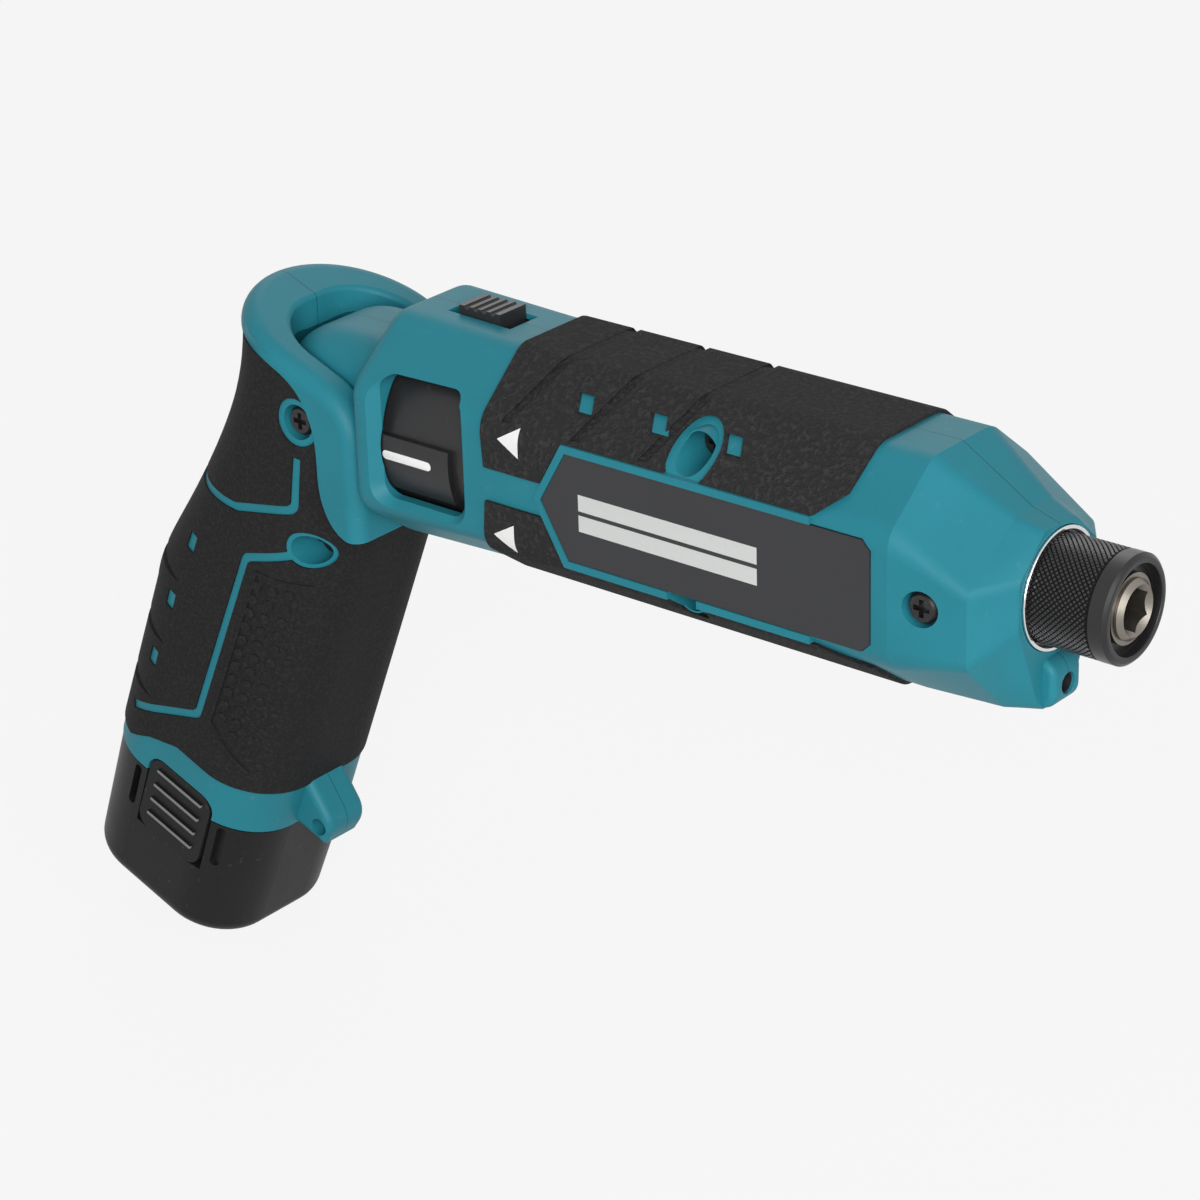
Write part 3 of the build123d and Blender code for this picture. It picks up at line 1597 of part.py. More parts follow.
with BuildPart() as handle_body:
    add(handle_form(0.0))
    # room for the barrel's neck to swing: a rounded pocket and an open front
    with BuildSketch(Plane(origin=hinge)) as pocket_half:
        with Locations((yoke_radius / 2, 0)):
            Rectangle(yoke_radius, 2 * yoke_half_width)
        fillet(pocket_half.vertices().group_by(Axis.X)[-1], neck_edge + yoke_round)
    revolve(axis=Axis(hinge, (0, 1, 0)), mode=Mode.SUBTRACT)
    with BuildSketch(Plane(origin=hinge, x_dir=(1, 0, 0), z_dir=(0, -1, 0))):
        with Locations((30, 30 - yoke_radius)):
            Rectangle(60, 60)
    extrude(amount=yoke_half_width, both=True, mode=Mode.SUBTRACT)
    with BuildSketch(Plane(origin=hinge + Vector(0, 0, 4))):
        add(mouth_shape)
    extrude(amount=60, mode=Mode.SUBTRACT)
    add(cap.part)
    add(lanyard_tab.part)
    # battery bay
    with BuildSketch(across(bay_top)):
        RectangleRounded(
            2 * (grip_half_depth - shell_wall), 2 * (grip_half_width - side_wall), grip_corner - shell_wall
        )
    extrude(amount=grip_end, mode=Mode.SUBTRACT)
    with BuildSketch(across(lead_room_top)):
        RectangleRounded(2 * lead_room_half, 2 * lead_room_half, lead_room_corner)
    extrude(amount=bay_top - lead_room_top + 1, mode=Mode.SUBTRACT)
    with BuildSketch(side_view):
        with Locations((lanyard_t, -lanyard_s)):
            Circle(lanyard_radius)
    extrude(amount=2 * tab_half_width, both=True, mode=Mode.SUBTRACT)
    # notches in the collar for the battery's latches
    with BuildSketch(side_view) as latch_notch:
        with Locations((latch_center, run_gap - latch_top - latch_length / 2)):
            RectangleRounded(latch_width + 2 * run_gap, latch_length, latch_corner + run_gap)
    for side in (1, -1):
        extrude(
            latch_notch.sketch.moved(Location((0, -side * (grip_half_width - side_wall - 1), 0))),
            amount=side * (side_wall + 4),
            mode=Mode.SUBTRACT,
        )
    # hinge pin seats, screw holes and head wells
    with BuildSketch(Plane.XZ):
        with Locations((hinge_x, 0)):
            Circle(hinge_pin_radius + seat / 4)
    extrude(amount=grip_half_width - pin_cover, both=True, mode=Mode.SUBTRACT)
    with BuildSketch(Plane.XZ):
        with Locations((hinge_x, 0)):
            Circle(screw_radius + seat)
    extrude(amount=grip_half_width + 1, mode=Mode.SUBTRACT)
    with BuildSketch(Plane.XZ.offset(grip_half_width - hinge_head_depth)):
        with Locations((hinge_x, 0)):
            Circle(screw_head_radius + hinge_head_room)
    extrude(amount=5, mode=Mode.SUBTRACT)
    with BuildSketch(side_view):
        with Locations((second_screw_t, -second_screw_s)):
            Circle(screw_radius + seat)
    extrude(amount=grip_half_width + 1, mode=Mode.SUBTRACT)
    with BuildSketch(side_view):
        with Locations((second_screw_t, -second_screw_s)):
            Circle(screw_radius + seat)
    extrude(amount=-blind_end, mode=Mode.SUBTRACT)
    with BuildSketch(side_view.offset(head_well_floor)):
        with Locations((second_screw_t, -second_screw_s)):
            Circle(screw_head_radius + head_room)
    extrude(amount=grip_half_width, mode=Mode.SUBTRACT)
    add(back_notches.part, mode=Mode.SUBTRACT)
    add(soft_skin.part, mode=Mode.SUBTRACT)

for side, kept in halves.items():
    with BuildPart() as handle_shell:
        add(handle_body.part)
        split(bisect_by=Plane.XZ, keep=kept)
    save(handle_shell.part, f"handle_shell_{side}")
    with BuildPart() as handle_grip:
        add(soft_skin.part)
        split(bisect_by=Plane.XZ, keep=kept)
    save(handle_grip.part, f"handle_grip_{side}")

pin_end = grip_half_width - pin_cover - seat
with BuildPart() as hinge_pin:
    with BuildSketch(Plane.XZ):
        with Locations((hinge_x, 0)):
            Circle(hinge_pin_radius)
            Circle(screw_radius + screw_slip, mode=Mode.SUBTRACT)
    extrude(amount=pin_end, both=True)
save(hinge_pin.part, "hinge_pin")

second_screw = on_handle(second_screw_s, second_screw_t, -head_well_floor - screw_head_height)
with BuildPart() as handle_screws:
    hinge_head = grip_half_width - hinge_head_depth + screw_head_height
    with Locations(Plane(origin=(hinge_x, -hinge_head, 0), z_dir=(0, 1, 0)).location):
        add(screw(reach=hinge_screw_reach))
    with Locations(Plane(origin=second_screw, z_dir=(0, 1, 0)).location):
        add(screw(reach=long_screw_reach))
save(handle_screws.part, "handle_screws")

# Leaf spring under the neck that clicks the fold
with BuildPart() as hinge_detent_spring:
    leaf_outer = yoke_radius - seat
    with BuildSketch(side_view):
        Circle(leaf_outer)
        Circle(leaf_outer - leaf_thickness, mode=Mode.SUBTRACT)
        with Locations((-4, -yoke_radius)):
            Rectangle(14, yoke_radius, mode=Mode.INTERSECT)
    extrude(amount=leaf_half_width, both=True)
save(hinge_detent_spring.part, "hinge_detent_spring")

# Terminal block and blades above the battery
with BuildPart() as terminal_block:
    with BuildSketch(across(bay_top + seat)):
        RectangleRounded(block_depth, block_width, block_corner)
    extrude(amount=block_height)
    with BuildSketch(across(bay_top + seat + block_web)):
        with GridLocations(1, blade_spacing, 1, 2):
            Rectangle(blade_thickness + seat, blade_width + seat)
    extrude(amount=block_height, mode=Mode.SUBTRACT)
save(terminal_block.part, "terminal_block")

with BuildPart() as terminal_blades:
    with BuildSketch(across(bay_top + seat + block_web)):
        with GridLocations(1, blade_spacing, 1, 2):
            Rectangle(blade_thickness, blade_width)
    extrude(amount=block_height - block_web + blade_depth)
save(terminal_blades.part, "terminal_blades")

# Battery: stem with two cells in the handle and a foot below it
foot_top = grip_end + run_gap
cell_spacing = 2 * cell_radius + seat + cell_web
stem_half_depth = cell_spacing / 2 + cell_radius + seat / 2 + case_skin
stem_half_width = cell_radius + seat + case_skin
foot_half_depth = grip_half_depth - foot_inset
foot_half_width = grip_half_width - foot_inset
stem_top = bay_top + seat + block_height + stem_gap
cell_top = stem_top + cell_cover
with BuildPart() as battery_case:
    with BuildSketch(across(stem_top)):
        RectangleRounded(2 * stem_half_depth, 2 * stem_half_width, stem_half_width - stem_flat)
    extrude(amount=foot_top - stem_top)
    with BuildSketch(across(foot_top)):
        RectangleRounded(2 * foot_half_depth, 2 * foot_half_width, grip_corner - foot_inset)
    extrude(amount=foot_end - foot_top, taper=foot_draft)
    level_faces = battery_case.faces().filter_by(Plane(origin=(0, 0, 0), z_dir=down))
    fillet(level_faces.sort_by(Axis(hinge, down))[-1].edges(), foot_edge)
    with BuildSketch(across(cell_top - seat)):
        with GridLocations(cell_spacing, 1, 2, 1):
            Circle(cell_radius + seat / 2)
    extrude(amount=cell_length + 2 * seat, mode=Mode.SUBTRACT)
    with BuildSketch(across(stem_top)):
        with GridLocations(1, blade_spacing, 1, 2):
            Rectangle(blade_thickness + 2 * run_gap, blade_width + 2 * run_gap)
    extrude(amount=blade_depth + blade_room, mode=Mode.SUBTRACT)
    # pockets for the two latches and wells for their springs
    latch_mid = latch_top + latch_length / 2
    pocket_floor = foot_half_width - latch_thickness - latch_travel - latch_clear
    for side in (1, -1):
        with BuildSketch(side_view.offset(side * pocket_floor)):
            with Locations((latch_center, -latch_mid)):
                Rectangle(latch_width + 2 * run_gap, latch_length + 2 * run_gap)
        extrude(amount=side * latch_cut, mode=Mode.SUBTRACT)
        with BuildSketch(side_view.offset(side * (pocket_floor - latch_well_depth))):
            with Locations((latch_center, -latch_mid)):
                Circle(latch_well_radius)
        extrude(amount=side * latch_cut, mode=Mode.SUBTRACT)
        # slots beside the latch
        slot_reach = latch_width / 2 + side_slot_gap
        with BuildSketch(side_view.offset(side * (foot_half_width - side_slot_depth))):
            with Locations((latch_center, -latch_mid - side_slot_drop)):
                with GridLocations(2 * slot_reach, 1, 2, 1):
                    SlotOverall(side_slot_length, side_slot_width, rotation=90)
        extrude(amount=side * latch_cut, mode=Mode.SUBTRACT)
save(battery_case.part, "battery_case")

with BuildPart() as battery_cells:
    with BuildSketch(across(cell_top)):
        with GridLocations(cell_spacing, 1, 2, 1):
            Circle(cell_radius)
    extrude(amount=cell_length)
save(battery_cells.part, "battery_cells")

for side, sign in (("right", 1), ("left", -1)):
    with BuildPart() as battery_latch:
        with BuildSketch(side_view.offset(sign * (foot_half_width - latch_thickness))):
            with Locations((latch_center, -latch_mid)):
                RectangleRounded(latch_width, latch_length, latch_corner)
        extrude(amount=sign * latch_thickness)
        with BuildSketch(side_view.offset(sign * foot_half_width)):
            with Locations((latch_center, latch_rib_rise - latch_mid)):
                with GridLocations(1, latch_rib_pitch, 1, latch_rib_count):
                    Rectangle(latch_width - 2 * latch_rib_margin, latch_rib_width)
        extrude(amount=sign * latch_rib)
    save(battery_latch.part, f"battery_latch_{side}")
    spring_start = on_handle(latch_mid, latch_center, -sign * (pocket_floor - latch_well_depth + seat))
    spring_length = foot_half_width - latch_thickness - pocket_floor + latch_well_depth - 2 * seat
    latch_spring = coil(
        latch_spring_radius,
        latch_spring_wire,
        spring_start,
        (0, -sign, 0),
        spring_length,
        spring_turns,
    )
    save(latch_spring, f"latch_spring_{side}")
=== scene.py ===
import json
import logging
import math
from dataclasses import dataclass
from enum import Enum
from typing import Any, Callable, Sequence, Union

import bpy
from mathutils import Matrix, Vector


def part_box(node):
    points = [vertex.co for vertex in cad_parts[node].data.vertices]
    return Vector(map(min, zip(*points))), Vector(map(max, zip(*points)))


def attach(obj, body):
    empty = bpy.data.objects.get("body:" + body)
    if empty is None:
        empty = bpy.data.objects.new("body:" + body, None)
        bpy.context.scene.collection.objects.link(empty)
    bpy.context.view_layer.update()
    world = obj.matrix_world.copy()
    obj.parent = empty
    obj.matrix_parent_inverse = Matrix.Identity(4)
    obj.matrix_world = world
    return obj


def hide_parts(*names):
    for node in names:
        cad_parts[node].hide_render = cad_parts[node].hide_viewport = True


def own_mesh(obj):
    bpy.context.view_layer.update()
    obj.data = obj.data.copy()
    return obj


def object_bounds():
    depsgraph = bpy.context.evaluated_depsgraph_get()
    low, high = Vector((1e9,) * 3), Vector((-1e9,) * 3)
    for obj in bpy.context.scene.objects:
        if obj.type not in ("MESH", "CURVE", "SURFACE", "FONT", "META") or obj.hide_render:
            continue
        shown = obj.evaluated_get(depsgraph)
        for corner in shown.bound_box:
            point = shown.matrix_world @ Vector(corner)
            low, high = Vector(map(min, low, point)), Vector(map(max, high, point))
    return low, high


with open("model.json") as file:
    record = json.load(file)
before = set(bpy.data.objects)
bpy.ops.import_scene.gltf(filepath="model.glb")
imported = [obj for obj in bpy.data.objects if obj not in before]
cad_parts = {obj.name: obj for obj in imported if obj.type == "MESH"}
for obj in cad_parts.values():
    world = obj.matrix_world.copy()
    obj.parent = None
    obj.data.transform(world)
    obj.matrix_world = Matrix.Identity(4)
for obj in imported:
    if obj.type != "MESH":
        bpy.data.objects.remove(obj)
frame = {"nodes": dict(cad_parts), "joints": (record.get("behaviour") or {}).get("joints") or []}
cad_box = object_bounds()

log = logging.getLogger("impact_driver")
MM = 0.001
# In millimetres: a length that counts as none, the slack for finding faces, and how far off a sheet starts.
TINY = 0.001
SLACK = 0.05
STAND_OFF = 30.0
# The cosine past which two directions count as the same.
FACING = 0.5
JOINTS = {joint["name"]: joint for joint in frame["joints"]}
HINGE = Vector(JOINTS["handle_fold"]["pos_m"])
DOWN = Vector(JOINTS["battery_slide"]["axis"])
AHEAD = Vector((-DOWN.z, 0.0, DOWN.x))
RAKE = math.atan2(-DOWN.x, -DOWN.z)
WHITE = (1.0, 1.0, 1.0)
Point = tuple[float, float, float]
Color = tuple[float, float, float]
Pair = tuple[float, float]
Piece = bpy.types.Object
Value = Union["Wire", float, Sequence[float]]
Inputs = dict[Union[str, int], Value]


@dataclass(frozen=True)
class Grain:
    """Soft noise: the size of one grain in metres, its octaves and the strength of the finer ones."""

    size: float
    octaves: float = 2.0
    roughness: float = 0.5


def operator(operation: str, swapped: bool = False) -> Callable[["Wire", Value], "Wire"]:
    """A method of Wire that adds one Math node; swapped puts the other value first."""

    def method(wire: "Wire", other: Value) -> "Wire":
        """Add the node."""
        return wire.maths(operation, other, wire) if swapped else wire.maths(operation, wire, other)

    return method


class Wire:
    """A shader value: one output socket, with Python's arithmetic on it."""

    def __init__(self, graph: "Graph", socket: bpy.types.NodeSocket) -> None:
        """Keep the graph and the socket."""
        self.graph = graph
        self.socket = socket

    def out(self, name: str) -> "Wire":
        """Another output of the same node."""
        return Wire(self.graph, self.socket.node.outputs[name])

    def maths(self, operation: str, first: Value, second: Value = 0.0) -> "Wire":
        """Add one Math node.

        Args:
            operation: The node's operation.
            first: First value or wire.
            second: Second value or wire.

        Returns:
            The result as a wire.
        """
        return self.graph.add("ShaderNodeMath", {"operation": operation}, {0: first, 1: second})

    __add__ = operator("ADD")
    __radd__ = operator("ADD", swapped=True)
    __sub__ = operator("SUBTRACT")
    __rsub__ = operator("SUBTRACT", swapped=True)
    __mul__ = operator("MULTIPLY")
    __truediv__ = operator("DIVIDE")
    __gt__ = operator("GREATER_THAN")
    __lt__ = operator("LESS_THAN")

    def __abs__(self) -> "Wire":
        """Size without its sign."""
        return self.maths("ABSOLUTE", self)

    def between(self, low: float, high: float) -> "Wire":
        """One between two numbers, zero outside them."""
        return (self > low) * (self < high)

    def swing(self, reach: float) -> "Wire":
        """A value about one half, moved to zero and scaled."""
        return (self - 0.5) * reach


class Graph:
    """The node tree of one material or world."""

    def __init__(self, owner: Union[bpy.types.Material, bpy.types.World]) -> None:
        """Start with the owner's tree emptied."""
        owner.use_nodes = True
        self.tree = owner.node_tree
        self.tree.nodes.clear()

    def add(
        self,
        kind: str,
        settings: dict[str, Any] | None = None,
        inputs: Inputs | None = None,
        output: Union[str, int] = 0,
    ) -> Wire:
        """Add any node.

        Args:
            kind: The node's type.
            settings: Its own settings, set first.
            inputs: Values or wires for its sockets, by name or number.
            output: The output that the caller wants.

        Returns:
            That output as a wire.
        """
        node = self.tree.nodes.new(kind)
        for key, value in (settings or {}).items():
            setattr(node, key, value)
        for key, value in (inputs or {}).items():
            if isinstance(value, Wire):
                self.tree.links.new(value.socket, node.inputs[key])
            else:
                node.inputs[key].default_value = value
        return Wire(self, node.outputs[output]) if node.outputs else Wire(self, node.inputs[0])

    def place(self) -> Wire:
        """Object coordinates, in metres of the tool's own frame."""
        return self.add("ShaderNodeTexCoord", output="Object")

    def axes(self, place: Wire) -> tuple[Wire, Wire, Wire]:
        """The three coordinates of a place as separate wires."""
        first = self.add("ShaderNodeSeparateXYZ", inputs={0: place})
        return first, first.out("Y"), first.out("Z")

    def noise(self, place: Wire, grain: Grain) -> Wire:
        """Soft noise by place, a value about one half."""
        inputs = {
            "Vector": place,
            "Scale": 1.0 / grain.size,
            "Detail": grain.octaves,
            "Roughness": grain.roughness,
        }
        return self.add("ShaderNodeTexNoise", {}, inputs, "Fac")

    def ramp(self, value: Wire, start: float, end: float) -> Wire:
        """Zero up to a start, one from an end, and a straight rise between them."""
        risen = self.add("ShaderNodeValToRGB", {}, {0: value})
        low, high = risen.socket.node.color_ramp.elements
        low.position = start
        high.position = end
        return risen

    def mix(self, share: Value, first: Value, second: Value) -> Wire:
        """Blend of two colours by a share."""
        inputs = {0: share, 6: self.rgba(first), 7: self.rgba(second)}
        return self.add("ShaderNodeMix", {"data_type": "RGBA"}, inputs, 2)

    def bump(self, height: Wire, depth: float) -> Wire:
        """Normal bent by a height of zero to one, with its depth in metres."""
        return self.add("ShaderNodeBump", {}, {"Height": height, "Distance": depth}, "Normal")

    @staticmethod
    def rgba(color: Value) -> Value:
        """A colour with its alpha, or the wire as it is."""
        return color if isinstance(color, Wire) else (*color, 1.0)

    def surface(self, inputs: Inputs) -> None:
        """Principled surface, linked to the output.

        Args:
            inputs: Values or wires of its sockets; a plain base colour may have three numbers.
        """
        inputs["Base Color"] = self.rgba(inputs["Base Color"])
        shader = self.add("ShaderNodeBsdfPrincipled", {}, inputs)
        self.add("ShaderNodeOutputMaterial", {}, {"Surface": shader})


def shade(color: Color, factor: float) -> Color:
    """The same colour, lighter or darker.

    Args:
        color: Linear colour.
        factor: Multiplier.

    Returns:
        The new colour.
    """
    return (color[0] * factor, color[1] * factor, color[2] * factor)


def tones(color: Color, factors: Pair) -> tuple[Color, Color]:
    """A darker and a lighter tone of the same colour."""
    return shade(color, factors[0]), shade(color, factors[1])


@dataclass(frozen=True)
class Finish:
    """A finish that a maker would name, with its base colour and roughness."""

    name: str
    color: Color
    roughness: float

    def material(self) -> bpy.types.Material:
        """The finish as a material, made once."""
        known = bpy.data.materials.get(self.name)
        if known is not None:
            return known
        made = bpy.data.materials.new(self.name)
        graph = Graph(made)
        graph.surface(self.dress(graph, graph.place()))
        return made

    def dress(self, graph: Graph, place: Wire) -> Inputs:
        """Lay the finish's nodes.

        Args:
            graph: The material's empty node tree.
            place: Coordinates in metres.

        Returns:
            Values and wires for the surface.
        """
        raise NotImplementedError


@dataclass(frozen=True)
class MouldedPlastic(Finish):
    """Grained moulding with faint flow marks and, on a clamshell, its parting line."""

    grain: float = 0.00032
    depth: float = 0.000022
    specular: float = 0.5
    parted: bool = False
    seam_half: float = 0.00007
    seam_share: float = 0.75
    seam_tone: float = 0.2
    seam_depth: float = 2.0
    grain_gloss: float = 0.16
    flow: Grain = Grain(0.018, 3.0)
    flow_rise: Pair = (0.3, 0.7)
    flow_tones: Pair = (0.94, 1.05)
    flow_gloss: float = 0.05
    scuff: Grain = Grain(0.0016, 5.0, 0.75)
    scuff_rise: Pair = (0.62, 0.74)
    scuff_share: float = 0.1
    scuff_color: Color = (0.42, 0.46, 0.47)

    def dress(self, graph: Graph, place: Wire) -> Inputs:
        """Values and wires for the surface."""
        grain = graph.noise(place, Grain(self.grain, octaves=3.0, roughness=0.6))
        flow = graph.ramp(graph.noise(place, self.flow), *self.flow_rise)
        color = graph.mix(flow, *tones(self.color, self.flow_tones))
        scuffs = graph.ramp(graph.noise(place, self.scuff), *self.scuff_rise)
        color = graph.mix(scuffs * self.scuff_share, color, self.scuff_color)
        height = grain
        if self.parted:
            seam = abs(graph.axes(place)[1]) < self.seam_half
            color = graph.mix(seam * self.seam_share, color, shade(self.color, self.seam_tone))
            height = grain - seam * self.seam_depth
        return {
            "Base Color": color,
            "Roughness": self.roughness + grain.swing(self.grain_gloss) + flow.swing(self.flow_gloss),
            "Specular IOR Level": self.specular,
            "Normal": graph.bump(height, self.depth),
        }


@dataclass(frozen=True)
class SoftGrip(Finish):
    """Stippled rubber skin, with a painted highlight on the tops of its grains and painted shade in the
    hollows between them.
    """

    stipple: float = 0.0009
    depth: float = 0.00022
    specular: float = 0.08
    pebble_rise: Pair = (0.38, 0.62)
    highlight_rise: Pair = (0.45, 1.0)
    highlight_share: float = 0.6
    shade_and_highlight_tones: Pair = (0.72, 1.5)
    fine_per_pebble: int = 4
    fine_share: float = 0.2
    fine_gloss: float = 0.2
    wander: Grain = Grain(0.0015)
    wander_share: float = 0.2
    wander_tone: float = 1.25

    def dress(self, graph: Graph, place: Wire) -> Inputs:
        """Values and wires for the surface."""
        wander = graph.noise(place, self.wander)
        pebbles = graph.noise(place, Grain(self.stipple, octaves=3.0, roughness=0.55))
        fine = graph.noise(place, Grain(self.stipple / self.fine_per_pebble, roughness=0.6))
        relief = pebbles * (1.0 - self.fine_share) + fine * self.fine_share
        height = graph.ramp(relief, *self.pebble_rise)
        # Painted light: the grains' tops are lighter as a painted highlight and the hollows between them
        # darker as painted shade.
        tops = graph.ramp(height, *self.highlight_rise)
        color = graph.mix(tops * self.highlight_share, *tones(self.color, self.shade_and_highlight_tones))
        color = graph.mix(wander * self.wander_share, color, shade(self.color, self.wander_tone))
        return {
            "Base Color": color,
            "Roughness": self.roughness - fine.swing(self.fine_gloss),
            "Specular IOR Level": self.specular,
            "Normal": graph.bump(height, self.depth),
        }


@dataclass(frozen=True)
class TurnedSteel(Finish):
    """Machined metal with fine marks round the drive axis and a little tarnish."""

    groove: float = 0.00012
    groove_octaves: float = 3.0
    groove_depth: float = 0.000006
    groove_gloss: float = 0.12
    tarnish: Grain = Grain(0.0035, 4.0)
    tarnish_rise: Pair = (0.35, 0.7)
    tarnish_share: float = 0.35
    tarnish_tone: float = 0.68
    tarnish_gloss: float = 0.08

    def dress(self, graph: Graph, place: Wire) -> Inputs:
        """Values and wires for the surface."""
        along, _, _ = graph.axes(place)
        marks = {"W": along / self.groove, "Detail": self.groove_octaves}
        rings = graph.add("ShaderNodeTexNoise", {"noise_dimensions": "1D"}, marks)
        tarnish = graph.ramp(graph.noise(place, self.tarnish), *self.tarnish_rise)
        dull = shade(self.color, self.tarnish_tone)
        return {
            "Base Color": graph.mix(tarnish * self.tarnish_share, self.color, dull),
            "Metallic": 1.0,
            "Roughness": self.roughness + rings.swing(self.groove_gloss) + tarnish * self.tarnish_gloss,
            "Normal": graph.bump(rings, self.groove_depth),
        }


@dataclass(frozen=True)
class BlackedSteel(Finish):
    """Steel under a thin black oxide, paler in patches where handling has worn it, with a painted highlight
    on the tips of knurling.
    """

    tip_radius: float = 0.0
    valley_radius: float = 0.0
    tip_rear: float = 0.0
    tip_front: float = 0.0
    tip_highlight_rise: Pair = (0.35, 1.0)
    tip_patches: float = 0.4
    rub: Grain = Grain(0.0007, 4.0, 0.7)
    rub_rise: Pair = (0.52, 0.7)
    wear_and_highlight_share: float = 0.5
    wear_and_highlight_tone: float = 5.0
    rub_gloss: float = 0.08
    rub_metallic: float = 0.25
    metallic: float = 0.35
    grain: Grain = Grain(0.00025)
    grain_gloss: float = 0.15
    depth: float = 0.00001

    def dress(self, graph: Graph, place: Wire) -> Inputs:
        """Values and wires for the surface."""
        wear_and_highlight = graph.ramp(graph.noise(place, self.rub), *self.rub_rise)
        grain = graph.noise(place, self.grain)
        # Painted highlight: on the knurl, the colour grows paler towards the tips, by their distance from
        # the axis, in patches.
        if self.tip_radius > self.valley_radius:
            along, across, high = graph.axes(place)
            radius = place.maths("SQRT", across * across + high * high)
            climb = (radius - self.valley_radius) / (self.tip_radius - self.valley_radius)
            knurled = along.between(self.tip_rear, self.tip_front)
            patches = (1.0 - self.tip_patches) + wear_and_highlight * self.tip_patches
            wear_and_highlight = graph.ramp(climb, *self.tip_highlight_rise) * patches * knurled
        return {
            "Base Color": graph.mix(wear_and_highlight * self.wear_and_highlight_share, self.color, shade(self.color, self.wear_and_highlight_tone)),
            "Metallic": self.metallic + wear_and_highlight * self.rub_metallic,
            "Roughness": self.roughness + grain.swing(self.grain_gloss) - wear_and_highlight * self.rub_gloss,
            "Normal": graph.bump(grain, self.depth),
        }


@dataclass(frozen=True)
class PrintedPlate(Finish):
    """Satin film on the side plate, bare apart from two blank pale writing bars."""

    bar_color: Color = (0.6, 0.61, 0.6)
    bar_rear: float = -0.0925
    bar_front: float = -0.0565
    bar_middle: float = -0.00035
    bar_half: float = 0.00143
    bar_pitch: float = 0.00358
    bar_gloss: float = 0.1
    film: Grain = Grain(0.0005)
    film_gloss: float = 0.14
    film_depth: float = 0.000008
    sheen: Grain = Grain(0.025)
    sheen_share: float = 0.5
    sheen_tones: Pair = (0.9, 1.15)
    wear: Grain = Grain(0.0011, 4.0, 0.7)
    wear_rise: Pair = (0.6, 0.75)
    wear_share: float = 0.35
    wear_tone: float = 0.6
    specular: float = 0.2
    coat: float = 0.04

    def dress(self, graph: Graph, place: Wire) -> Inputs:
        """Values and wires for the surface."""
        along, _, high = graph.axes(place)
        film = graph.noise(place, self.film)
        sheen = graph.noise(place, self.sheen)
        from_middle = abs(abs(high - self.bar_middle) - self.bar_pitch / 2)
        bars = along.between(self.bar_rear, self.bar_front) * (from_middle < self.bar_half)
        worn = graph.ramp(graph.noise(place, self.wear), *self.wear_rise)
        dark = graph.mix(sheen * self.sheen_share, *tones(self.color, self.sheen_tones))
        pale = graph.mix(worn * self.wear_share, self.bar_color, shade(self.bar_color, self.wear_tone))
        return {
            "Base Color": graph.mix(bars, dark, pale),
            "Roughness": self.roughness + film.swing(self.film_gloss) + bars * self.bar_gloss,
            "Normal": graph.bump(film, self.film_depth),
            "Specular IOR Level": self.specular,
            "Coat Weight": self.coat,
        }


@dataclass(frozen=True)
class FlatPaint(Finish):
    """Thin printed paint with slightly uneven cover."""

    cover: Grain = Grain(0.0006, 3.0)
    cover_share: float = 0.35
    cover_tone: float = 0.82
    cover_gloss: float = 0.12
    depth: float = 0.00001

    def dress(self, graph: Graph, place: Wire) -> Inputs:
        """Values and wires for the surface."""
        cover = graph.noise(place, self.cover)
        thin = shade(self.color, self.cover_tone)
        return {
            "Base Color": graph.mix(cover * self.cover_share, self.color, thin),
            "Roughness": self.roughness + cover.swing(self.cover_gloss),
            "Normal": graph.bump(cover, self.depth),
        }


@dataclass(frozen=True)
class ClearLens(Finish):
    """Clear moulded lens, faintly ribbed inside."""

    ripple: Grain = Grain(0.0009, 1.0)
    ripple_gloss: float = 0.05
    ripple_depth: float = 0.00002
    refraction: float = 1.49
    clearness: float = 0.8

    def dress(self, graph: Graph, place: Wire) -> Inputs:
        """Values and wires for the surface."""
        ripple = graph.noise(place, self.ripple)
        return {
            "Base Color": self.color,
            "Roughness": self.roughness + ripple * self.ripple_gloss,
            "IOR": self.refraction,
            "Transmission Weight": self.clearness,
            "Normal": graph.bump(ripple, self.ripple_depth),
        }


@dataclass(frozen=True)
class StackedSheet(Finish):
    """Edges of thin sheets stacked along the drive axis."""

    sheet: float = 0.0005
    gap_share: float = 0.16
    gap_tone: float = 0.35
    gap_gloss: float = 0.25
    gap_depth: float = 0.00003
    metallic: float = 0.9
    patches: Grain = Grain(0.002)
    patch_gloss: float = 0.1

    def dress(self, graph: Graph, place: Wire) -> Inputs:
        """Values and wires for the surface."""
        along, _, _ = graph.axes(place)
        gap = place.maths("FRACT", along / self.sheet) < self.gap_share
        patches = graph.noise(place, self.patches)
        return {
            "Base Color": graph.mix(gap, self.color, shade(self.color, self.gap_tone)),
            "Metallic": self.metallic,
            "Roughness": self.roughness + gap * self.gap_gloss + patches * self.patch_gloss,
            "Normal": graph.bump(1.0 - gap, self.gap_depth),
        }


TEAL = MouldedPlastic("teal_moulding", (0.018, 0.195, 0.249), 0.48, specular=0.2, parted=True)
RUBBER = SoftGrip("grained_grip", (0.037, 0.037, 0.038), 0.78)
SMOOTH_RUBBER = SoftGrip("smooth_grip", (0.022, 0.022, 0.0225), 0.7, stipple=0.0006, depth=0.00004)
BLACK_MOULDING = MouldedPlastic("black_moulding", (0.018, 0.018, 0.019), 0.38, grain=0.00025, specular=0.35)
CHARCOAL = MouldedPlastic(
    "charcoal_moulding", (0.011, 0.011, 0.0115), 0.44, grain=0.0005, depth=0.00003, specular=0.14
)
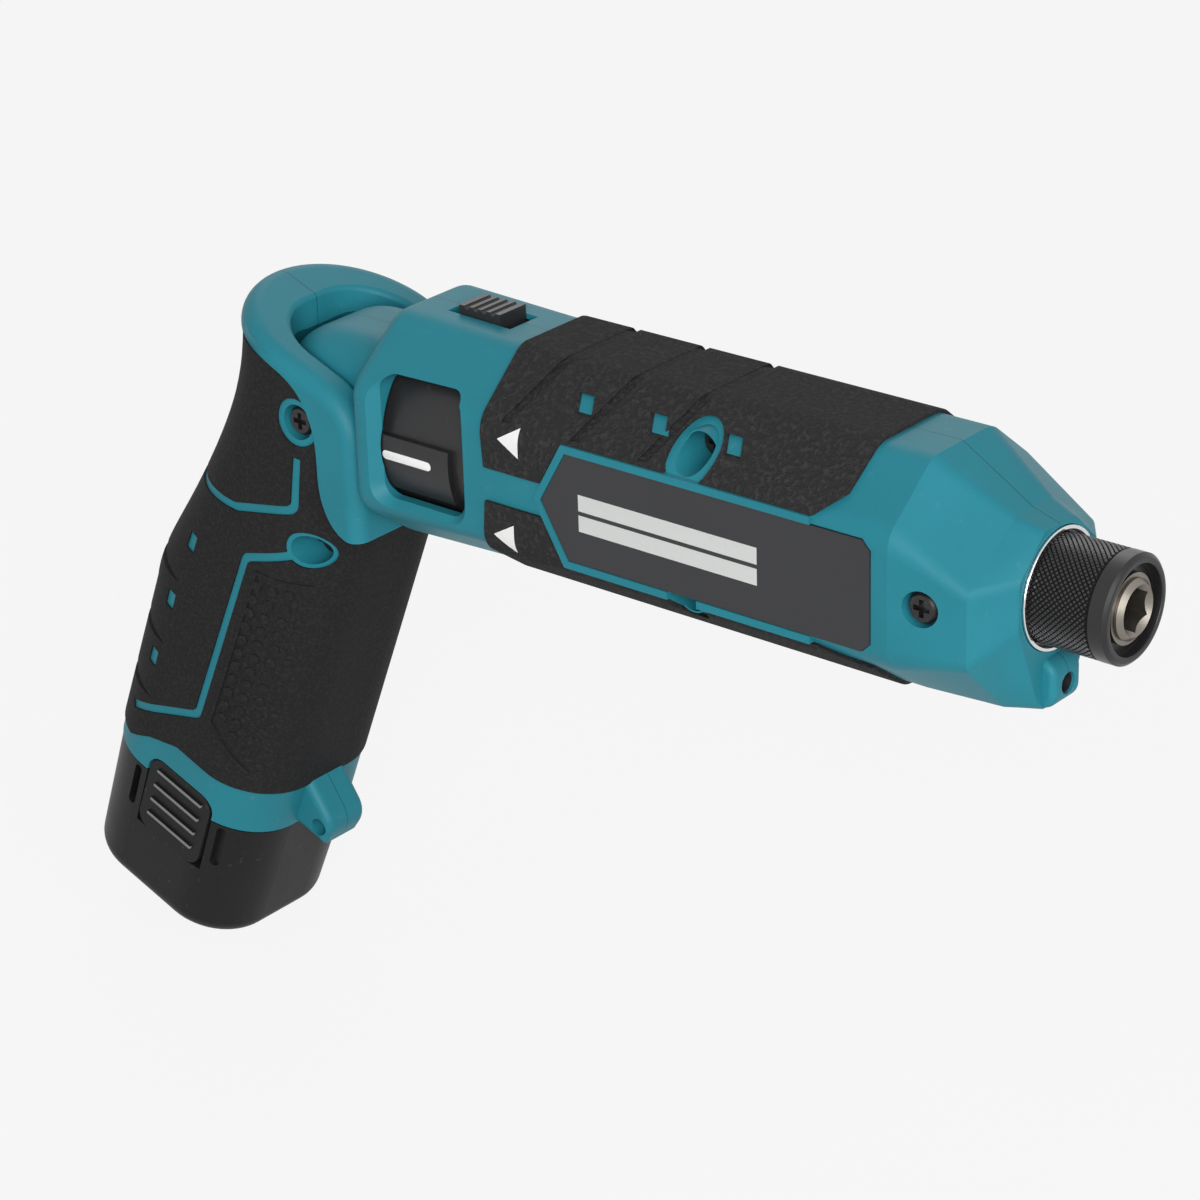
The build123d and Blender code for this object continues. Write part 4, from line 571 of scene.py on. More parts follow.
# Pale grey on the latch ribs: a painted highlight that stands in for the light on them.
PAINTED_HIGHLIGHT_RIB = MouldedPlastic("rib_painted_highlight", (0.17, 0.17, 0.175), 0.45, grain=0.0003)
PLATE = PrintedPlate("printed_plate", (0.038, 0.0385, 0.042), 0.36)
BLACK_STEEL = BlackedSteel("blacked_steel", (0.016, 0.016, 0.017), 0.36)
KNURLED = BlackedSteel(
    "knurled_steel",
    (0.018, 0.018, 0.0185),
    0.36,
    tip_radius=0.00888,
    valley_radius=0.00858,
    tip_rear=-0.0142,
    tip_front=-0.0038,
)
STEEL = TurnedSteel("turned_steel", (0.44, 0.41, 0.37), 0.33)
OILED_STEEL = TurnedSteel("oiled_steel", (0.25, 0.23, 0.2), 0.36)
BRIGHT = TurnedSteel("bright_steel", (0.64, 0.64, 0.62), 0.2)
ALLOY = TurnedSteel("cast_alloy", (0.6, 0.6, 0.61), 0.45)
BRONZE = TurnedSteel("sintered_bronze", (0.55, 0.36, 0.16), 0.42)
COPPER = TurnedSteel("bare_copper", (0.72, 0.36, 0.2), 0.3)
MAGNET = MouldedPlastic("pressed_ferrite", (0.05, 0.05, 0.052), 0.55)
CORE = StackedSheet("stacked_core", (0.4, 0.4, 0.41), 0.4)
GRAPHITE = MouldedPlastic("pressed_graphite", (0.035, 0.035, 0.036), 0.5)
CELL_WRAP = MouldedPlastic("cell_wrap", (0.02, 0.14, 0.06), 0.25, depth=0.000006)
BOARD = MouldedPlastic("lamp_board", (0.015, 0.11, 0.04), 0.4, depth=0.00001)
LENS = ClearLens("clear_lens", (0.95, 0.95, 0.92), 0.06)
MARK = FlatPaint("white_mark", (0.86, 0.86, 0.85), 0.5)


def both(*stems: str) -> tuple[str, ...]:
    """The names of each stem's right and left nodes."""
    return tuple(f"{stem}_{side}" for stem in stems for side in ("right", "left"))


NODE_FINISHES: dict[Finish, tuple[str, ...]] = {
    TEAL: both("barrel_housing", "handle_shell"),
    RUBBER: both("upper_grip", "lower_grip"),
    SMOOTH_RUBBER: both("handle_grip"),
    BLACK_MOULDING: (
        "lock_slider",
        "direction_ring",
        "trigger",
        "switch_body",
        "motor_end_cap",
        "terminal_block",
    ),
    CHARCOAL: ("battery_case", *both("battery_latch")),
    PLATE: both("side_plate"),
    BLACK_STEEL: ("chuck_sleeve", "barrel_screws", "handle_screws", "spring_washer"),
    OILED_STEEL: ("anvil", "retaining_ring"),
    STEEL: (
        "hammer",
        "spindle",
        "sun_gear",
        "ring_gear",
        *(f"planet_gear_{number}" for number in (1, 2, 3)),
        "rotor_shaft",
        "motor_can",
        "hinge_pin",
        "hinge_detent_spring",
        "hammer_spring",
        "trigger_spring",
        "sleeve_spring",
        *both("latch_spring"),
        "planet_pins",
    ),
    BRIGHT: ("nose_ring", "cam_balls", "detent_balls", "motor_bearings"),
    ALLOY: ("hammer_case", "gear_plate"),
    BRONZE: ("anvil_bush",),
    COPPER: ("commutator", "terminal_blades"),
    MAGNET: ("motor_magnets",),
    CORE: ("rotor_core",),
    GRAPHITE: ("motor_brushes",),
    CELL_WRAP: ("battery_cells",),
    BOARD: ("led_board",),
    LENS: ("led_lens",),
}


def dress_nodes() -> None:
    """Give every CAD node its finish."""
    for finish, names in NODE_FINISHES.items():
        for name in names:
            mesh = frame["nodes"][name].data
            mesh.materials.clear()
            mesh.materials.append(finish.material())
        log.info("%s on %d nodes", finish.name, len(names))


class Pick(Enum):
    """What edit mode selects, as Blender's three switches."""

    EDGES = (False, True, False)
    FACES = (False, False, True)


class Bench:
    """Blender's modelling tools, with what they work on picked by its place or normal."""

    @staticmethod
    def close() -> None:
        """Go back to object mode."""
        if bpy.context.mode != "OBJECT":
            bpy.ops.object.mode_set(mode="OBJECT")

    @staticmethod
    def clear() -> None:
        """Go back to object mode and deselect everything."""
        Bench.close()
        bpy.ops.object.select_all(action="DESELECT")

    @staticmethod
    def settle(name: str) -> Piece:
        """Name the new primitive and put its place, turn and size into its mesh."""
        piece = bpy.context.object
        piece.name = name
        piece.data.name = name
        bpy.ops.object.transform_apply(location=True, rotation=True, scale=True)
        return piece

    @staticmethod
    def take(piece: Piece) -> None:
        """Make a piece the active one and the only one selected."""
        Bench.clear()
        piece.select_set(True)
        bpy.context.view_layer.objects.active = piece

    @staticmethod
    def open_up() -> None:
        """Enter edit mode with all of the active piece selected."""
        bpy.ops.object.mode_set(mode="EDIT")
        bpy.ops.mesh.select_all(action="SELECT")

    @staticmethod
    def face_out() -> None:
        """Turn the selected faces outwards and leave edit mode."""
        bpy.ops.mesh.normals_make_consistent(inside=False)
        Bench.close()

    @staticmethod
    def pick(piece: Piece, kind: Pick, test: Callable[[Vector, Vector], bool]) -> None:
        """Enter edit mode with only what passes a test selected.

        Args:
            piece: The active object.
            kind: Edges or faces.
            test: Takes an edge's two ends, or a face's middle and normal.
        """
        Bench.close()
        bpy.context.tool_settings.mesh_select_mode = kind.value
        mesh = piece.data
        for elements in (mesh.vertices, mesh.edges, mesh.polygons):
            elements.foreach_set("select", [False] * len(elements))
        if kind is Pick.FACES:
            chosen = [bool(test(face.center, face.normal)) for face in mesh.polygons]
            mesh.polygons.foreach_set("select", chosen)
        else:
            ends = [[mesh.vertices[index].co for index in edge.vertices] for edge in mesh.edges]
            mesh.edges.foreach_set("select", [bool(test(*pair)) for pair in ends])
        bpy.ops.object.mode_set(mode="EDIT")

    @staticmethod
    def bevel(width: float, steps: int) -> None:
        """Bevel what is picked, by a width in millimetres, and leave edit mode."""
        bpy.ops.mesh.bevel(offset=width * MM, segments=steps)
        Bench.close()

    @staticmethod
    def divide(cuts: int) -> None:
        """Subdivide all of the active piece."""
        Bench.open_up()
        bpy.ops.mesh.subdivide(number_cuts=cuts)
        Bench.close()

    @staticmethod
    def lathe(name: str, profile: Sequence[Pair], sides: int, height: float = 0.0) -> Piece:
        """Ring about an axis along X: a circle extruded from station to station, back to its start.

        Args:
            name: The piece's name.
            profile: Pairs of x and radius, in millimetres.
            sides: Sides of the circle.
            height: Height of the axis, in millimetres.

        Returns:
            The ring.
        """
        Bench.clear()
        start, radius = profile[0]
        bpy.ops.mesh.primitive_circle_add(
            vertices=sides,
            radius=radius * MM,
            location=(start * MM, 0.0, height * MM),
            rotation=(0.0, math.pi / 2, 0.0),
        )
        piece = Bench.settle(name)
        Bench.open_up()
        for (x_from, r_from), (x_to, r_to) in zip(profile, [*profile[1:], profile[0]]):
            step = ((x_to - x_from) * MM, 0.0, 0.0)
            bpy.ops.mesh.extrude_edges_move(TRANSFORM_OT_translate={"value": step})
            size = r_to / r_from
            bpy.ops.transform.resize(value=(1.0, size, size), center_override=(x_to * MM, 0.0, height * MM))
        bpy.ops.mesh.select_all(action="SELECT")
        bpy.ops.mesh.remove_doubles(threshold=TINY * MM)
        Bench.face_out()
        return piece

    @staticmethod
    def modify(piece: Piece, kind: str, settings: dict[str, Any]) -> None:
        """Add a modifier with its settings and apply it."""
        Bench.take(piece)
        modifier = piece.modifiers.new(kind.lower(), kind)
        for key, value in settings.items():
            setattr(modifier, key, value)
        bpy.ops.object.modifier_apply(modifier=modifier.name)

    @staticmethod
    def repeat(piece: Piece, count: int, pitch: float) -> None:
        """Repeat a piece down the handle, count times in all, at a pitch in millimetres."""
        row = {
            "count": count,
            "use_relative_offset": False,
            "use_constant_offset": True,
            "constant_offset_displace": DOWN * pitch * MM,
        }
        Bench.modify(piece, "ARRAY", row)

    @staticmethod
    def lay_on(sheet: Piece, node: str, lift: float, film: float) -> None:
        """Press a flat sheet sideways onto a node of the right side and give it a thickness.

        Args:
            sheet: The sheet, standing off the right side.
            node: The node that it lies on.
            lift: Distance from the node to the sheet's middle, in millimetres.
            film: The sheet's thickness, in millimetres.
        """
        wrap = {
            "target": frame["nodes"][node],
            "wrap_method": "PROJECT",
            "wrap_mode": "ABOVE_SURFACE",
            "use_project_y": True,
            "use_positive_direction": True,
            "use_negative_direction": False,
            "offset": lift * MM,
        }
        Bench.modify(sheet, "SHRINKWRAP", wrap)
        Bench.modify(sheet, "SOLIDIFY", {"thickness": film * MM, "offset": 0.0})

    @staticmethod
    def copy(piece: Piece, name: str) -> Piece:
        """A copy of a piece with its own mesh."""
        Bench.take(piece)
        bpy.ops.object.duplicate(linked=False)
        bpy.context.object.name = name
        return bpy.context.object

    @staticmethod
    def mirror(piece: Piece, name: str) -> Piece:
        """A copy of a piece on the tool's other side, with its own mesh."""
        other = Bench.copy(piece, name)
        Bench.open_up()
        bpy.ops.transform.resize(value=(1.0, -1.0, 1.0), center_override=(0.0, 0.0, 0.0))
        Bench.face_out()
        return other

    @staticmethod
    def join(pieces: Sequence[Piece], name: str) -> Piece:
        """Join several pieces into one."""
        Bench.clear()
        for piece in pieces:
            piece.select_set(True)
        bpy.context.view_layer.objects.active = pieces[0]
        bpy.ops.object.join()
        pieces[0].name = name
        return pieces[0]

    @staticmethod
    def hand_over(piece: Piece, finish: Finish, body: str, slot: str, angle: float = 35.0) -> None:
        """Dress a finished piece, smooth it and let it ride on its body.

        Args:
            piece: The piece, in place.
            finish: Its finish.
            body: The moving body that carries it.
            slot: The record's material slot; not used.
            angle: Edges sharper than this stay sharp, in degrees.
        """
        Bench.take(piece)
        bpy.ops.object.shade_smooth_by_angle(angle=math.radians(angle))
        piece.data.materials.clear()
        piece.data.materials.append(finish.material())
        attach(piece, body)
        log.info("%s rides on %s, %d faces", piece.name, body, len(piece.data.polygons))


def on_handle(s: float, t: float, y: float) -> Vector:
    """Point s down the handle, t ahead of the hinge and y to the left, all in millimetres."""
    return HINGE + (DOWN * s + AHEAD * t + Vector((0.0, y, 0.0))) * MM


def runs_across(first: Vector, second: Vector) -> bool:
    """Whether an edge with these ends runs from side to side."""
    return abs(first.y - second.y) > SLACK * MM


@dataclass
class ChuckSleeve:
    """The pull sleeve: a turned ring with a smooth lip in front and diamond knurling behind it."""

    bore: float = 7.2
    radius: float = 8.9
    front: float = -0.3
    rear: float = -15.2
    sides: int = 112
    lip_chamfer: float = 0.6
    lip_round: float = 0.18
    lip_steps: int = 3
    mouth_step: float = 0.1
    mouth_depth: float = 1.6
    spring_wall: float = 0.3
    collar_bore: float = 5.1
    collar_rear: float = 2.3
    collar_front: float = 6.0
    rear_wall: float = 0.5
    rear_fall: float = 0.1
    rear_chamfer: float = 0.4
    knurl_front: float = -3.7
    knurl_rear: float = -14.1
    knurl_floor: float = 8.55
    knurl_height: float = 0.32
    knurl_slope: float = 0.14
    run_in: float = 0.35
    run_out: float = 0.25
    columns: int = 56
    rows: int = 11
    grid_slack: float = 0.02
    sharp_angle: float = 28.0

    def build(self) -> None:
        """Turn the ring, knurl its band and put it in the plain sleeve's place."""
        ring = Bench.lathe("sleeve_ring", self._profile(), self.sides)
        Bench.pick(ring, Pick.EDGES, self._on_lip)
        Bench.bevel(self.lip_round, self.lip_steps)
        sleeve = Bench.join([ring, self._knurl()], "pull_sleeve")
        Bench.hand_over(sleeve, KNURLED, "sleeve", "black_steel", self.sharp_angle)
        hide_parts("chuck_sleeve")

    def _profile(self) -> list[Pair]:
        """Stations of x and radius round the ring's section."""
        mouth = self.bore + self.mouth_step
        spring_room = self.bore - self.spring_wall
        rear_bore = self.bore - self.rear_wall
        rear_radius = self.radius - self.rear_fall
        return [
            (self.front, mouth),
            (self.front, self.radius - self.lip_chamfer),
            (self.front - self.lip_chamfer, self.radius),
            (self.knurl_front + self.run_in, self.radius),
            (self.knurl_front, self.knurl_floor),
            (self.knurl_rear, self.knurl_floor),
            (self.knurl_rear - self.run_out, rear_radius),
            (self.rear + self.rear_chamfer, rear_radius),
            (self.rear, rear_radius - self.rear_chamfer),
            (self.rear, rear_bore),
            (self.rear + self.collar_rear, rear_bore),
            (self.rear + self.collar_rear, self.collar_bore),
            (self.rear + self.collar_front, self.collar_bore),
            (self.rear + self.collar_front, spring_room),
            (self.front - self.mouth_depth, spring_room),
            (self.front - self.mouth_depth, mouth),
        ]

    def _on_lip(self, first: Vector, second: Vector) -> bool:
        """Whether an edge runs round the sleeve's front face."""
        return first.x > (self.front - SLACK) * MM and abs(first.x - second.x) < TINY * MM

    def _knurl(self) -> Piece:
        """Band of small blunt diamonds: a grid poked, freed of its own edges and inset outwards."""
        Bench.clear()
        bpy.ops.mesh.primitive_cylinder_add(
            vertices=self.columns,
            radius=self.knurl_floor * MM,
            depth=(self.knurl_front - self.knurl_rear) * MM,
            end_fill_type="NOTHING",
            location=((self.knurl_front + self.knurl_rear) / 2 * MM, 0.0, 0.0),
            rotation=(0.0, math.pi / 2, 0.0),
        )
        band = Bench.settle("sleeve_knurl")
        Bench.pick(band, Pick.EDGES, lambda first, second: abs(first.x - second.x) > SLACK * MM)
        bpy.ops.mesh.subdivide(number_cuts=self.rows - 1)
        bpy.ops.mesh.select_all(action="SELECT")
        bpy.ops.mesh.poke(offset=0.0)
        Bench.pick(band, Pick.EDGES, self._on_grid)
        bpy.ops.mesh.dissolve_edges(use_verts=False)
        bpy.ops.mesh.select_all(action="SELECT")
        bpy.ops.mesh.normals_make_consistent(inside=False)
        bpy.ops.mesh.inset(
            thickness=self.knurl_slope * MM, depth=self.knurl_height * MM, use_individual=True
        )
        Bench.close()
        return band

    def _on_grid(self, first: Vector, second: Vector) -> bool:
        """Whether an edge belongs to the first grid, inside the band."""
        near = self.grid_slack * MM
        along = abs(first.y - second.y) < near and abs(first.z - second.z) < near
        inside = self.knurl_rear * MM + near < first.x < self.knurl_front * MM - near
        return along or (abs(first.x - second.x) < near and inside)


@dataclass
class DirectionMarks:
    """White index bars on the direction ring and the triangles beside its windows."""

    bar_rear: float = -136.6
    bar_front: float = -125.8
    bar_z: float = -1.05
    bar_height: float = 1.6
    bar_face: float = 18.66
    bar_depth: float = 0.5
    bar_round: float = 0.49
    bar_steps: int = 6
    face_round: float = 0.1
    face_steps: int = 2
    arrow_size: float = 2.9
    arrow_lift: float = 0.03
    arrow_film: float = 0.08
    arrow_cuts: int = 7
    arrows: tuple[tuple[str, float, float], ...] = (("upper", -106.1, 8.8), ("lower", -107.6, -8.4))

    def build(self) -> None:
        """Make the marks of the right side and mirror them to the left."""
        bar = self._bar()
        Bench.hand_over(Bench.mirror(bar, "index_bar_left"), MARK, "direction_ring", "plate_grey")
        Bench.hand_over(bar, MARK, "direction_ring", "plate_grey")
        for level, x, z in self.arrows:
            arrow = self._arrow(level, x, z)
            Bench.hand_over(Bench.mirror(arrow, f"{level}_arrow_left"), MARK, "barrel", "plate_grey")
            Bench.hand_over(arrow, MARK, "barrel", "plate_grey")

    def _bar(self) -> Piece:
        """Bar with round ends and softened face."""
        Bench.clear()
        bpy.ops.mesh.primitive_cube_add(
            size=1.0,
            location=(
                (self.bar_rear + self.bar_front) / 2 * MM,
                (self.bar_depth / 2 - self.bar_face) * MM,
                self.bar_z * MM,
            ),
            scale=((self.bar_front - self.bar_rear) * MM, self.bar_depth * MM, self.bar_height * MM),
        )
        bar = Bench.settle("index_bar_right")
        Bench.pick(bar, Pick.EDGES, runs_across)
        Bench.bevel(self.bar_round * self.bar_height, self.bar_steps)
        face = (SLACK - self.bar_face) * MM
        Bench.pick(bar, Pick.EDGES, lambda first, second: first.y < face and second.y < face)
        Bench.bevel(self.face_round, self.face_steps)
        return bar

    def _arrow(self, level: str, x: float, z: float) -> Piece:
        """Triangle pointing back, laid on the rubber as a thin film.

        Args:
            level: Upper or lower, as in the name of the grip that carries it.
            x: Its middle along the barrel, in millimetres.
            z: Its middle's height, in millimetres.

        Returns:
            The triangle.
        """
        Bench.clear()
        bpy.ops.mesh.primitive_circle_add(
            vertices=3,
            radius=self.arrow_size * MM,
            fill_type="NGON",
            location=(x * MM, -STAND_OFF * MM, z * MM),
            rotation=(math.pi / 2, -math.pi / 2, 0.0),
        )
        arrow = Bench.settle(f"{level}_arrow_right")
        Bench.divide(self.arrow_cuts)
        Bench.lay_on(arrow, f"{level}_grip_right", self.arrow_lift, self.arrow_film)
        return arrow


@dataclass
class DotPanel:
    """Field of low round studs on the front corner of each side of the handle."""

    first_s: float = 36.0
    last_s: float = 70.0
    last_fall: float = 2.0
    row_pitch: float = 3.15
    column_angle: float = 13.3
    columns: int = 4
    first_angle: float = 3.0
    corner_t: float = 0.2
    corner_y: float = 5.7
    corner_radius: float = 13.4
    stud_radius: float = 1.05
    stud_height: float = 0.55
    stud_sides: int = 18
    stud_round: float = 0.28
    stud_steps: int = 3
    slant: float = 0.62
    sink: float = 0.11
    rim_width: float = 0.7
    rim_film: float = 0.5
    rim_step: float = 0.04
    rim_cuts: int = 16
    rim_corners: tuple[Pair, ...] = ((9.5, 31.6), (0.0, 33.6), (-1.4, 70.2), (8.0, 77.0))

    def build(self) -> None:
        """Make the studs and the rim of the right side and mirror them to the left."""
        stud = self._stud()
        rows = [self._column(stud, number) for number in range(self.columns)]
        bpy.data.objects.remove(stud)
        sides = zip(self.rim_corners, self.rim_corners[1:])
        rims = [self._rim(*ends, self.rim_step * number) for number, ends in enumerate(sides)]
        panel = Bench.join([*rows, *rims], "stud_panel_right")
        Bench.hand_over(Bench.mirror(panel, "stud_panel_left"), SMOOTH_RUBBER, "handle", "black_rubber")
        Bench.hand_over(panel, SMOOTH_RUBBER, "handle", "black_rubber")

    def _stud(self) -> Piece:
        """One stud on the right side, standing on the flat where the corner starts."""
        Bench.clear()
        base = on_handle(self.first_s, self.corner_t, -self.corner_y - self.corner_radius)
        bpy.ops.mesh.primitive_cylinder_add(
            vertices=self.stud_sides,
            radius=self.stud_radius * MM,
            depth=2 * self.stud_height * MM,
            location=base,
            rotation=(math.pi / 2, 0.0, 0.0),
        )
        stud = Bench.settle("stud")
        Bench.pick(stud, Pick.FACES, lambda _, normal: normal.y < -FACING)
        Bench.bevel(self.stud_round, self.stud_steps)
        return stud

    def _rim(self, start: Pair, end: Pair, lift: float) -> Piece:
        """One straight bead of the panel's rim, laid on the rubber.

        Args:
            start: Its first corner, ahead of the hinge and down the handle, in millimetres.
            end: Its last corner.
            lift: How far it stands above its neighbour, so that their tops do not coincide.

        Returns:
            The bead.
        """
        Bench.clear()
        first = on_handle(start[1], start[0], -STAND_OFF)
        last = on_handle(end[1], end[0], -STAND_OFF)
        run = last - first
        upright = Matrix.Rotation(math.pi / 2, 3, "X")
        turn = Matrix.Rotation(-math.atan2(run.z, run.x), 3, "Y") @ upright
        bpy.ops.mesh.primitive_plane_add(size=1.0, location=(first + last) / 2, rotation=turn.to_euler())
        bpy.context.object.scale = (run.length + self.rim_width * MM, self.rim_width * MM, 1.0)
        bead = Bench.settle("panel_rim")
        Bench.divide(self.rim_cuts)
        Bench.lay_on(bead, "handle_grip_right", lift, self.rim_film)
        return bead

    def _column(self, stud: Piece, number: int) -> Piece:
        """One column of studs, turned about the corner's axis and repeated down the handle.

        Args:
            stud: The stud to copy.
            number: The column, counted from the flat side; each next one starts higher, ends lower and
                stands less proud.

        Returns:
            The column.
        """
        column = Bench.copy(stud, f"stud_column_{number}")
        turn = math.radians(self.first_angle + self.column_angle * number)
        shift = -self.slant * number
        pivot = on_handle(0.0, self.corner_t, -self.corner_y)
        spin = Matrix.Translation(pivot) @ Matrix.Rotation(-turn, 4, DOWN) @ Matrix.Translation(-pivot)
        sunk = Matrix.Translation((0.0, self.sink * number * MM, 0.0))
        column.data.transform(Matrix.Translation(DOWN * shift * MM) @ spin @ sunk)
        room = self.last_s + self.last_fall * number - self.first_s - shift
        Bench.repeat(column, int(room / self.row_pitch) + 1, self.row_pitch)
        return column


@dataclass
class LatchRibs:
    """Ribs on the two battery latches, pale all over as a painted highlight."""

    middle_s: float = 95.2
    middle_t: float = -4.6
    pitch: float = 3.5
    count: int = 4
    length: float = 11.9
    width: float = 0.7
    foot: float = 18.5
    proud: float = 0.48
    sunk: float = 0.2
    end_round: float = 0.45
    end_steps: int = 4
    face_round: float = 0.2
    face_steps: int = 3

    def build(self) -> None:
        """Make one rib, repeat it down the latch and mirror the set."""
        Bench.clear()
        first = self.middle_s - self.pitch * (self.count - 1) / 2
        bpy.ops.mesh.primitive_cube_add(
            size=1.0,
            location=on_handle(first, self.middle_t, -self.foot - self.proud / 2 + self.sunk / 2),
            rotation=(0.0, RAKE, 0.0),
            scale=(self.length * MM, (self.proud + self.sunk) * MM, self.width * MM),
        )
        ribs = Bench.settle("latch_ribs_right")
        face = (-self.foot - self.proud + SLACK) * MM
        Bench.pick(ribs, Pick.EDGES, runs_across)
        Bench.bevel(self.end_round * self.width, self.end_steps)
        Bench.pick(ribs, Pick.EDGES, lambda first, second: first.y < face and second.y < face)
        Bench.bevel(self.face_round, self.face_steps)
        Bench.repeat(ribs, self.count, self.pitch)
        other = Bench.mirror(ribs, "latch_ribs_left")
        Bench.hand_over(ribs, PAINTED_HIGHLIGHT_RIB, "latch_right", "charcoal_plastic")
        Bench.hand_over(other, PAINTED_HIGHLIGHT_RIB, "latch_left", "charcoal_plastic")


@dataclass
class NoseLamp:
    """The lamp in the chin: a dark reflector cup with a small clear dome in it."""

    height: float = -15.4
    mouth: float = -12.5
    floor: float = -16.4
    radius: float = 1.77
    dome_radius: float = 1.05
    sides: int = 48
    wire_hole: float = 0.4
    floor_wall: float = 0.5
    floor_margin: float = 0.2
    mouth_wall: float = 0.25
    dome_middle: float = 0.6
    dome_foot: float = 0.55
    dome_segments: int = 32
    dome_rings: int = 16

    def build(self) -> None:
        """Turn the cup and shape the dome from half a ball."""
        inner_floor = self.floor + self.floor_wall
        section = [
            (self.mouth, self.radius),
            (self.floor, self.radius),
            (self.floor, self.wire_hole),
            (inner_floor, self.wire_hole),
            (inner_floor, self.dome_radius + self.floor_margin),
            (self.mouth, self.radius - self.mouth_wall),
        ]
        cup = Bench.lathe("lamp_cup", section, self.sides, self.height)
        Bench.hand_over(cup, BLACK_MOULDING, "barrel", "black_plastic")
        Bench.clear()
        bpy.ops.mesh.primitive_uv_sphere_add(
            segments=self.dome_segments,
            ring_count=self.dome_rings,
            radius=self.dome_radius * MM,
            location=((self.floor + self.dome_middle) * MM, 0.0, self.height * MM),
            rotation=(0.0, math.pi / 2, 0.0),
        )
        dome = Bench.settle("lamp_dome")
        Bench.open_up()
        bpy.ops.mesh.bisect(
            plane_co=((self.floor + self.dome_foot) * MM, 0.0, self.height * MM),
            plane_no=(1.0, 0.0, 0.0),
            use_fill=True,
            clear_inner=True,
        )
        Bench.close()
        Bench.hand_over(dome, LENS, "barrel", "lens")
        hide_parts("led_lens")


@dataclass
class CoilSpring:
    """A wound coil spring in place of the plain coil."""

    node: str
    joint: str
    body: str
    wire: float
    turns: int
    steps: int = 20
    sides: int = 8

    def build(self) -> None:
        """Wind the coil along the joint's axis and let it ride on its body."""
        push = Vector(JOINTS[self.joint]["axis"])
        low, high = (Vector(corner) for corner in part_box(self.node))
        middle = (low + high) / 2
        length = abs((high - low).dot(push))
        wire = self.wire * MM
        across = [width for width, along in zip(high - low, push) if abs(along) < FACING]
        radius = (max(across) - wire) / 2
        coil = self._wind(middle - push * (length - wire) / 2, push, radius, length - wire)
        Bench.hand_over(coil, STEEL, self.body, "steel")
        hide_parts(self.node)
        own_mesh(coil)

    def _wind(self, start: Vector, push: Vector, radius: float, rise: float) -> Piece:
        """Screw the wire's round section along the axis and close its two ends.

        Args:
            start: The middle of the coil's first end.
            push: The axis, towards the other end.
            radius: Radius of the wire's middle line, in metres.
            rise: Length of the wire's middle line along the axis, in metres.

        Returns:
            The coil.
        """
        Bench.clear()
        turn = push.to_track_quat("Z", "Y").to_euler()
        bpy.ops.mesh.primitive_circle_add(
            vertices=self.sides, radius=self.wire / 2 * MM, location=start, rotation=turn
        )
        coil = bpy.context.object
        upright = Matrix.Rotation(math.pi / 2, 4, "X")
        coil.data.transform(Matrix.Translation((radius, 0.0, 0.0)) @ upright)
        winding = {
            "axis": "Z",
            "angle": 2 * math.pi,
            "screw_offset": rise / self.turns,
            "iterations": self.turns,
            "steps": self.steps,
        }
        Bench.modify(coil, "SCREW", winding)
        coil = Bench.settle(f"{self.node}_coil")
        Bench.open_up()
        bpy.ops.mesh.fill_holes(sides=self.sides)
        Bench.face_out()
        return coil


SPRINGS = (
    CoilSpring("hammer_spring", "hammer_retract", "spindle", wire=1.0, turns=4),
    CoilSpring("sleeve_spring", "sleeve_pull", "anvil", wire=0.5, turns=4),
    CoilSpring("trigger_spring", "trigger_pull", "barrel", wire=0.35, turns=5),
    CoilSpring("latch_spring_right", "latch_right_press", "battery", wire=0.35, turns=4),
    CoilSpring("latch_spring_left", "latch_left_press", "battery", wire=0.35, turns=4),
)


@dataclass
class PhotoCamera:
    """The camera that took the photograph, from the place of the socket's mouth in it."""

    azimuth: float = 40.26
    elevation: float = 24.55
    roll: float = -1.75
    focal_px: float = 3727.0
    distance: float = 0.558
    socket_px: Pair = (1138.4, 611.0)
    image_px: float = 1200.0
    sensor_mm: float = 36.0
    near_clip: float = 0.01

    def build(self) -> None:
        """Make the camera and hand it to the scene."""
        turn = math.radians(self.azimuth)
        rise = math.radians(self.elevation)
        lean = math.radians(self.roll)
        back = Vector((math.sin(turn) * math.cos(rise), -math.cos(turn) * math.cos(rise), math.sin(rise)))
        right = Vector((math.cos(turn), math.sin(turn), 0.0))
        up = back.cross(right)
        leaned_right = right * math.cos(lean) + up * math.sin(lean)
        leaned_up = up * math.cos(lean) - right * math.sin(lean)
        per_px = self.distance / self.focal_px
        socket_right = (self.socket_px[0] - self.image_px / 2) * per_px
        socket_up = (self.image_px / 2 - self.socket_px[1]) * per_px
        data = bpy.data.cameras.new("photo_camera")
        data.sensor_width = self.sensor_mm
        data.lens = self.focal_px * self.sensor_mm / self.image_px
        data.clip_start = self.near_clip
        camera = bpy.data.objects.new("photo_camera", data)
        bpy.context.scene.collection.objects.link(camera)
        camera.location = back * self.distance - leaned_right * socket_right - leaned_up * socket_up
        camera.rotation_euler = Matrix((leaned_right, leaned_up, back)).transposed().to_euler()
        bpy.context.scene.camera = camera


@dataclass(frozen=True)
class SoftBox:
    """One studio lamp: where it stands from the object's middle, its width and its power."""

    name: str
    stand: Point
    width: float
    watts: float


